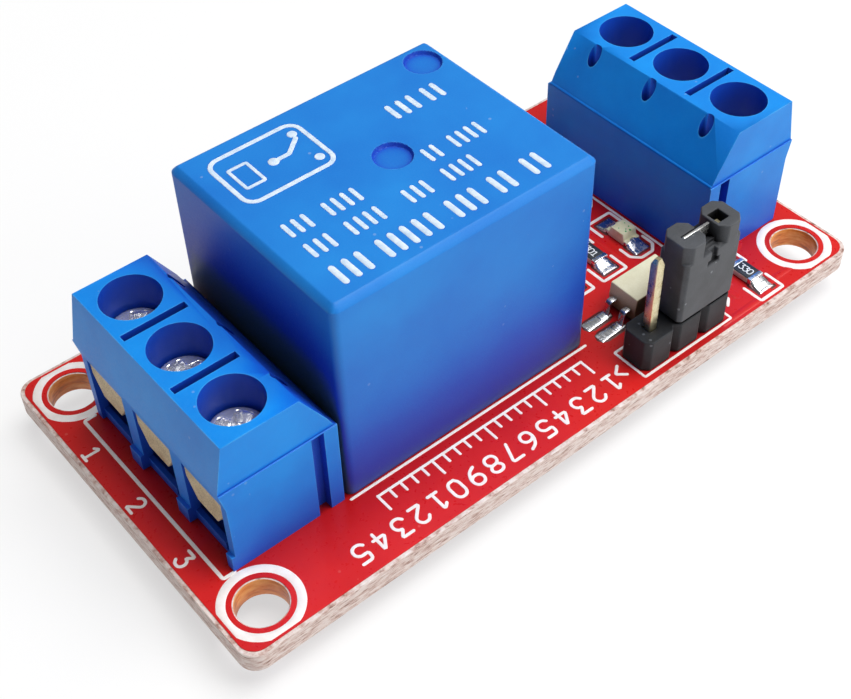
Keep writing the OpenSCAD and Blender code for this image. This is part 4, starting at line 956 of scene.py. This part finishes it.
def makeScrew(low, high, turn, look):
    # Head: a shallow dome less a tapered cross, inside a rounded rim. Shank: a radius that falls
    # to the thread's depth and back once a pitch, and winds once a turn
    head, rim, shank, ease = look["head"], look["rim"], look["shank"], look["ease"]
    around, level = circle(look["around"]), np.ones(look["around"])
    top, seat, tip = high[2], high[2] - look["headHeight"], low[2]
    r, a = np.meshgrid(np.linspace(0, head - rim, 30), around, indexing="ij")
    x, y = r * np.cos(a), r * np.sin(a)
    cut = np.zeros_like(r)
    for angle in (turn, turn + 90):
        c, s = cosSin(angle)
        along, across = np.abs(x * c + y * s), np.abs(-x * s + y * c)
        inWidth = (look["crossWidth"] / 2 + look["taper"] - across) / look["taper"]
        inLength = (look["crossLength"] / 2 - along) / look["taper"] / 2
        cut = np.maximum(cut, np.clip(inWidth, 0, 1) * np.clip(inLength, 0, 1))
    cap = grid(x, y, top - look["dome"] * (r / head) ** 2 - look["crossDeep"] * cut)
    arc = np.linspace(0, math.pi / 2, 6)
    rimR, rimZ = head - rim + rim * np.cos(arc), top - look["dome"] - rim * (1 - np.sin(arc))
    zs = np.linspace(tip + look["tipRun"], seat - ease,
                     int((seat - tip) / look["pitch"] * look["threadSteps"]))
    phase = (zs[:, None] / look["pitch"] - around[None] / (2 * math.pi)) % 1.0
    thread = shank - look["threadDeep"] * (1 - np.abs(2 * phase - 1))
    rows = np.concatenate([np.outer([0, shank - 0.5], level), thread,
                           np.outer([shank, head - ease, head, *rimR], level)])
    heights = np.outer([tip, tip, *zs, seat, seat, seat + ease, *rimZ], level)
    body = grid(rows * np.cos(around), rows * np.sin(around), heights)
    return gridPart(np.concatenate([body, cap[-2::-1]]), wrapCols=True)


for side in ("output", "input"):
    for k in (1, 2, 3):
        name = f"{side}_screw_{k}"
        turn = screwLook["firstTurn"] + screwLook["nextTurn"] * k
        turn += screwLook["inputTurn"] if side == "input" else 0
        screw = moved(makeScrew(*boxOf(name), turn, screwLook), (*middleOf(name)[:2], 0))
        makePiece(f"{side}Screw{k}", [screw], "screwMetal", body=name,
                  node=name, sharp=50)
print("terminal blocks made")

softCopy("header_strip", "headerStrip", "headerPlastic", width=0.09)
softCopy("jumper_cap", "jumperCap", "jumperPlastic", body="jumper", width=0.1)
softCopy("jumper_clip", "jumperClip", "clipMetal", body="jumper", width=0.03)

pinLook = {"corner": 0.07, "taper": 0.45, "tipScale": 0.5}


def makePin(low, high, look):
    # A rounded square carried up, drawn in towards both tips
    size, taper, tip = high[0] - low[0], look["taper"], look["tipScale"]
    x, y = outline(size, size, look["corner"], 4).T
    z = [[low[2]], [low[2]], [low[2] + taper], [high[2] - taper], [high[2]], [high[2]]]
    scale = [0, tip, 1, 1, tip, 0]
    rows = grid(np.outer(scale, x), np.outer(scale, y), z)
    return moved(gridPart(rows, wrapCols=True), (*((low + high) / 2)[:2], 0))


for k in (1, 2, 3):
    name = f"header_pin_{k}"
    makePiece(f"headerPin{k}", [makePin(*boxOf(name), pinLook)], "pinMetal",
              node=name, sharp=30)
print("header and jumper made")

solderLook = {
    "padRise": 0.07, "lift": 0.004, "back": 0.1, "slump": 2.4, "squareEnd": 8, "roundEnd": 2.4,
    "gapRise": 0.012, "gapWide": 0.16, "gapCorner": 0.18,
    # length, width and climb of each kind of pad
    "chip": (0.95, 1.3, 0.34), "opto": (2.05, 0.78, 0.06), "transistor": (0.85, 0.75, 0.1),
    "diode": (0.7, 1.5, 0.6),
}


def solderPad(length, width, climb, end, look):
    # Solder from a part's end outwards along X: the height falls as a power of the distance, its
    # rim as a superellipse, and its foot lies flat on the board
    u = (1 - np.cos(np.linspace(0, math.pi, 15))) / 2
    u, v = np.meshgrid(u, -np.cos(np.linspace(0, math.pi, 13)), indexing="ij")
    x, y = -look["back"] + u * (length + look["back"]), v * width / 2
    hump = climb * (1 - np.clip(x / length, 0, 1)) ** look["slump"] * (1 - 0.3 * v ** 2)
    far = np.clip(2 * u - 1, 0, 1)
    rim = np.clip(1 - np.abs(v) ** end, 0, 1) ** 0.5 * np.clip(1 - far ** end, 0, 1) ** 0.5
    over = grid(x, y, (look["padRise"] + hump) * rim)
    foot = over[:1] * [1, 1, 0]
    top = np.concatenate([foot, over])
    return [gridPart(top.transpose(1, 0, 2)), gridPart(np.concatenate([foot, over * [1, 1, 0]]))]


# Each pad: the middle of its inner end, its direction in degrees, and its kind
leadLow, leadHigh = boxOf("optocoupler_leads")
transLow, transHigh = boxOf("transistor_leads")
diodeLow, diodeHigh = boxOf("flyback_diode")
optoY, transX, diodeY = (middleOf("optocoupler_leads")[1], middleOf("transistor_leads")[0],
                         middleOf("flyback_diode")[1])
optoRows, transRows = (-0.635, 0.635), ((-0.95, -1), (0.95, -1), (0, 1))
padSpots = []
for name in resistors + leds:
    low, high = boxOf(name)
    x = middleOf(name)[0]
    padSpots += [(x, low[1], -90, "chip"), (x, high[1], 90, "chip")]
padSpots += [(x, optoY + y, turn, "opto") for x, turn in
             ((leadLow[0] + 0.75, 180), (leadHigh[0] - 0.75, 0)) for y in optoRows]
padSpots += [(transX + x, transLow[1] + 0.3 if s < 0 else transHigh[1] - 0.3, 90 * s, "transistor")
             for x, s in transRows]
padSpots += [(diodeLow[0], diodeY, 180, "diode"), (diodeHigh[0], diodeY, 0, "diode")]


def makePads(look):
    # The solder, and a thin bare patch with round corners in the coat under it
    solder, gaps = [], []
    for x, y, turn, kind in padSpots:
        length, width, climb = look[kind]
        isRound, wide = kind == "opto", width + 2 * look["gapWide"]
        for part in solderPad(length, width, climb, look["roundEnd" if isRound else "squareEnd"],
                              look):
            solder.append(moved(part, (x, y, topZ + look["lift"]), turn))
        c, s = cosSin(turn)
        middle = length / 2 - look["back"] / 2
        patch = mouldedBlock((0, 0, 0), (length + look["back"] + 2 * look["gapWide"], wide,
                                         look["gapRise"]),
                             wide / 2 - 0.01 if isRound else look["gapCorner"],
                             look["gapRise"] * 0.4, 3)
        gaps.append(moved(patch, (x + c * middle, y + s * middle, topZ - look["lift"]), turn))
    return solder, gaps


padSolder, padGaps = makePads(solderLook)
makePiece("chipSolder", padSolder, "solderMetal", node="chip_solder", sharp=60)
makePiece("padGaps", padGaps, "padGap")

chipLook = {
    "end": 0.36, "edge": 0.05, "lacquer": 0.1, "figurePitch": 0.36, "figure": 0.5,
    "figureLine": 0.075, "figures": ["301", "150", "301", "150", "330"],
}


def makeResistor(name, text, look):
    # Pale ceramic block, dark lacquer on it, a wrapped metal end on both sides, a printed number
    low, high = boxOf(name)
    (x, y, _), (wide, long, height) = (low + high) / 2, high - low
    end, skin = look["end"], look["lacquer"]
    makePiece(name + "Ceramic", [mouldedBlock(
        (x, y, low[2] + 0.03), (wide - 0.06, long - 0.08, height - 0.1), 0.04, 0.03)],
        "chipCeramic")
    makePiece(name + "Lacquer", [mouldedBlock(
        (x, y, high[2] - skin), (wide - 0.1, long - 2 * end + 0.08, skin), 0.1, 0.04)],
        "chipLacquer")
    ends = [mouldedBlock((x, y + s * (long - end) / 2, low[2]), (wide, end, height), 0.06,
                         look["edge"]) for s in (-1, 1)]
    makePiece(name + "Ends", ends, "solderMetal", node=name)
    ink = Ink(high[2] - 0.004, high[2] + 0.012)
    for k, figure in enumerate(text):
        ink.digit(figure, (x, y - (k - 1) * look["figurePitch"]), look["figure"],
                  look["figureLine"], -90)
    makePiece(name + "Figures", ink.parts, "chipInk")


for name, text in zip(resistors, chipLook["figures"]):
    makeResistor(name, text, chipLook)

ledLook = {
    "cap": (1.29, 0.3, 0.34), "capInset": 0.26,
    "spots": [(0.12, -0.52, 0.09), (-0.22, -0.44, 0.07), (0.3, -0.2, 0.06),     # x, y, radius
              (-0.05, -0.28, 0.05), (-0.35, 0.1, 0.045), (0.34, 0.22, 0.05)],
}
for name in leds:
    (low, high), (x, y, _) = boxOf(name), middleOf(name)
    softCopy(name, name + "Body", "ledPlastic", width=0.05)
    away = (high[1] - low[1] - ledLook["capInset"]) / 2
    caps = [mouldedBlock((x, y + s * away, low[2]), ledLook["cap"], 0.05, 0.04) for s in (-1, 1)]
    makePiece(name + "Caps", caps, "solderMetal")
    spots = [lathe([(0, -0.01), (r, -0.01), (r * 0.75, 0.02), (0, 0.03)],
                   (x + dx, y + dy, high[2]), 16) for dx, dy, r in ledLook["spots"]]
    makePiece(name + "Spots", spots, "greenSpot")

leadLook = {"thick": 0.15, "inside": 0.15, "bend": 0.22, "optoWidth": 0.45,
            "transistorWidth": 0.4, "transistorReach": 0.55}


def gullLead(x, y, turn, drop, reach, width, look):
    # A flat strip that leaves the body level, bends down, and ends in a foot on the board
    thick = look["thick"]
    path = bendPath([(-look["inside"], drop), (reach * 0.42, drop), (reach * 0.5, thick / 2),
                     (reach, thick / 2)], look["bend"], 5)
    strip = sweep(grid(path[:, 0], 0, path[:, 1]), outline(width, thick, 0.04, 3), (0, 1, 0))
    return moved(strip, (x, y, topZ), turn)


(optoLow, optoHigh), optoMid = boxOf("optocoupler_body"), middleOf("optocoupler_body")
optoLeads = [gullLead(x, optoY + y, turn, optoMid[2] - topZ, leadHigh[0] - optoHigh[0],
                      leadLook["optoWidth"], leadLook)
             for x, turn in ((optoLow[0], 180), (optoHigh[0], 0)) for y in optoRows]
makePiece("optocouplerLeads", optoLeads, "solderMetal", node="optocoupler_leads")
softCopy("optocoupler_body", "optocouplerBody", "ivoryPlastic", width=0.07)

(bodyLow, bodyHigh), bodyMid = boxOf("transistor_body"), middleOf("transistor_body")
makePiece("transistorBody", [mouldedBlock((*bodyMid[:2], bodyLow[2]), bodyHigh - bodyLow, 0.1,
                                          0.07, draft=0.06)],
          "bodyPlastic", node="transistor_body")
transLeads = [gullLead(transX + x, bodyMid[1] + s * (bodyHigh[1] - bodyLow[1]) / 2, 90 * s,
                       bodyMid[2] - topZ, leadLook["transistorReach"],
                       leadLook["transistorWidth"], leadLook) for x, s in transRows]
makePiece("transistorLeads", transLeads, "solderMetal", node="transistor_leads")


def lyingLathe(profile, centre):
    # A turned shape laid along X
    points, quads = lathe(profile, (0, 0, 0))
    return points[:, [2, 0, 1]] + centre, quads


def makeDiode():
    # A slightly waisted glass tube, a rounded metal cap at both ends, and a ring round the tube
    centre = middleOf("flyback_diode")
    half, r = (diodeHigh[0] - diodeLow[0]) / 2, (diodeHigh[2] - diodeLow[2]) / 2
    tube = [(0, -half + 0.1), (r - 0.09, -half + 0.1), (r - 0.06, 0), (r - 0.09, half - 0.1),
            (0, half - 0.1)]
    cap = [(0, 0), (r - 0.12, 0), (r - 0.03, 0.04), (r, 0.12), (r, 0.3), (r - 0.1, 0.35),
           (0, 0.35)]
    ring = [(0, 0.75), (r - 0.055, 0.75), (r - 0.055, 1.05), (0, 1.05)]
    makePiece("diodeBody", [lyingLathe(tube, centre)], "bodyPlastic",
              node="flyback_diode")
    ends = [[(wide, -half + h) for wide, h in cap], [(wide, half - h) for wide, h in cap][::-1]]
    makePiece("diodeCaps", [lyingLathe(shape, centre) for shape in (*ends, ring)], "solderMetal")


makeDiode()
print("chip parts made")

jointLook = {
    "ring": 0.45, "play": 0.15, "height": 0.95, "sag": 2.2, "cap": 0.04, "sunk": 0.01,
    # half the diagonal of each kind of lead
    "contact": 0.58, "relayStrip": 0.54, "coilPin": 0.42, "headerPin": 0.45,
}


def makeJoint(x, y, lead, look):
    # A cone whose flank sags: its radius falls with a power of what is left of its height
    top, wide, height = underZ - look["sunk"], look["play"] + look["ring"], look["height"]
    flank = [(lead + wide * (1 - t) ** look["sag"], top - height * t) for t in np.linspace(1, 0, 9)]
    return lathe([(0, flank[0][1] - look["cap"]), *flank, (0, top)], (x, y, 0), 28)


def leadSpots(look):
    # x, y and half the diagonal of every lead that comes through the board
    spots = []
    for side in ("output", "input"):
        for k in (1, 2, 3):
            low, high = boxOf(f"{side}_contact_{k}")
            x = high[0] - 0.3 if side == "output" else low[0] + 0.3
            spots.append((x, (low[1] + high[1]) / 2, look["contact"]))
    spots.append((middleOf("relay_common_pin")[0], 0, look["relayStrip"]))
    low, high = boxOf("relay_coil_pins")
    x = (low[0] + high[0]) / 2
    spots += [(x, y, look["coilPin"]) for y in (low[1] + 0.3, high[1] - 0.3)]
    low, high = boxOf("relay_open_contact")
    spots += [(low[0] + 0.2, s * (high[1] - 0.5), look["relayStrip"]) for s in (-1, 1)]
    return spots + [(*middleOf(f"header_pin_{k}")[:2], look["headerPin"]) for k in (1, 2, 3)]


makePiece("pinSolder", [makeJoint(*spot, jointLook) for spot in leadSpots(jointLook)],
          "solderMetal", node="pin_solder", sharp=60)
print("solder under the board made")

stageLook = {
    "floor": 3.0, "floorDrop": 0.01, "floorColour": (248, 248, 248), "floorRough": 0.9,
    "floorGlow": 0.6, "floorGlowColour": (255, 255, 255), "fadeFrom": 0.028, "fadeTo": 0.09,
    "worldLevel": 0.36, "worldDark": 0.14, "worldAxis": (0.75, -0.55, 0.35), "worldSpan": 0.9,
}
lampLooks = {
    "keyBox": {"place": (0.15, -0.1, 0.5), "size": 0.38, "power": 2.7},
    "nearBox": {"place": (0.09, -0.13, 0.09), "size": 0.09, "power": 0.07},
}
lampAim = (0, 0, 0.005)


def makeFloor(look):
    lowest, half = cadBox[0][2] - look["floorDrop"] * mm, look["floor"] / 2
    corners = [(x * half, y * half, lowest) for x, y in ((-1, -1), (1, -1), (1, 1), (-1, 1))]
    mesh = bpy.data.meshes.new("floor")
    mesh.from_pydata(corners, [], [(0, 1, 2, 3)])
    addObject("floor", mesh)
    tree, shader = newMaterial("paleFloor")
    mesh.materials.append(materials["paleFloor"])
    feed(tree, shader, {"Base Color": rgb(look["floorColour"]), "Roughness": look["floorRough"]})
    glow = addNode(tree, "Emission", {"Color": rgb(look["floorGlowColour"]), "Strength": 1.0})
    # Glow for metal to mirror; to the eye the floor also fades to white away from the board
    path = addNode(tree, "LightPath").outputs
    mirrored = maths(tree, "MAXIMUM", path["Is Glossy Ray"], path["Is Transmission Ray"])
    far = addNode(tree, "VectorMath", {0: objectPoint(tree)}, operation="LENGTH").outputs["Value"]
    fade = remap(tree, far, look["fadeFrom"], look["fadeTo"], look["floorGlow"], 1.0)
    share = maths(tree, "MAXIMUM", times(tree, mirrored, look["floorGlow"]),
                  times(tree, path["Is Camera Ray"], fade))
    mix = addNode(tree, "MixShader", {0: share, 1: shader.outputs[0], 2: glow.outputs[0]})
    feed(tree, tree.nodes["Material Output"], {"Surface": mix.outputs[0]})


def makeWorld(look):
    # Darker towards the output end, lighter towards the near long side and the input end
    scene.world = bpy.data.worlds.new("studio")
    scene.world.use_nodes = True
    tree = scene.world.node_tree
    path = addNode(tree, "LightPath").outputs
    seen = maths(tree, "MAXIMUM", path["Is Camera Ray"], path["Is Transmission Ray"])
    toward = addNode(tree, "TexCoord").outputs["Generated"]
    along = addNode(tree, "VectorMath", {0: toward, 1: look["worldAxis"]}, operation="DOT_PRODUCT")
    level = remap(tree, along.outputs["Value"], -look["worldSpan"], look["worldSpan"],
                  look["worldDark"], look["worldLevel"])
    strength = addNode(tree, "Mix", {0: seen, 2: level, 3: 1.0}).outputs[0]
    feed(tree, tree.nodes["Background"], {"Strength": strength, "Color": (1, 1, 1, 1)})


def addSoftbox(name, look):
    data = bpy.data.lights.new(name, "AREA")
    data.shape, data.size, data.energy = "SQUARE", look["size"], look["power"]
    lamp = addObject(name, data)
    lamp.location = look["place"]
    aim = Vector(lampAim) - Vector(look["place"])
    lamp.rotation_euler = aim.to_track_quat("-Z", "Y").to_euler()


makeFloor(stageLook)
makeWorld(stageLook)
for name, look in lampLooks.items():
    addSoftbox(name, look)
scene.view_settings.view_transform = "Standard"
print("stage made")
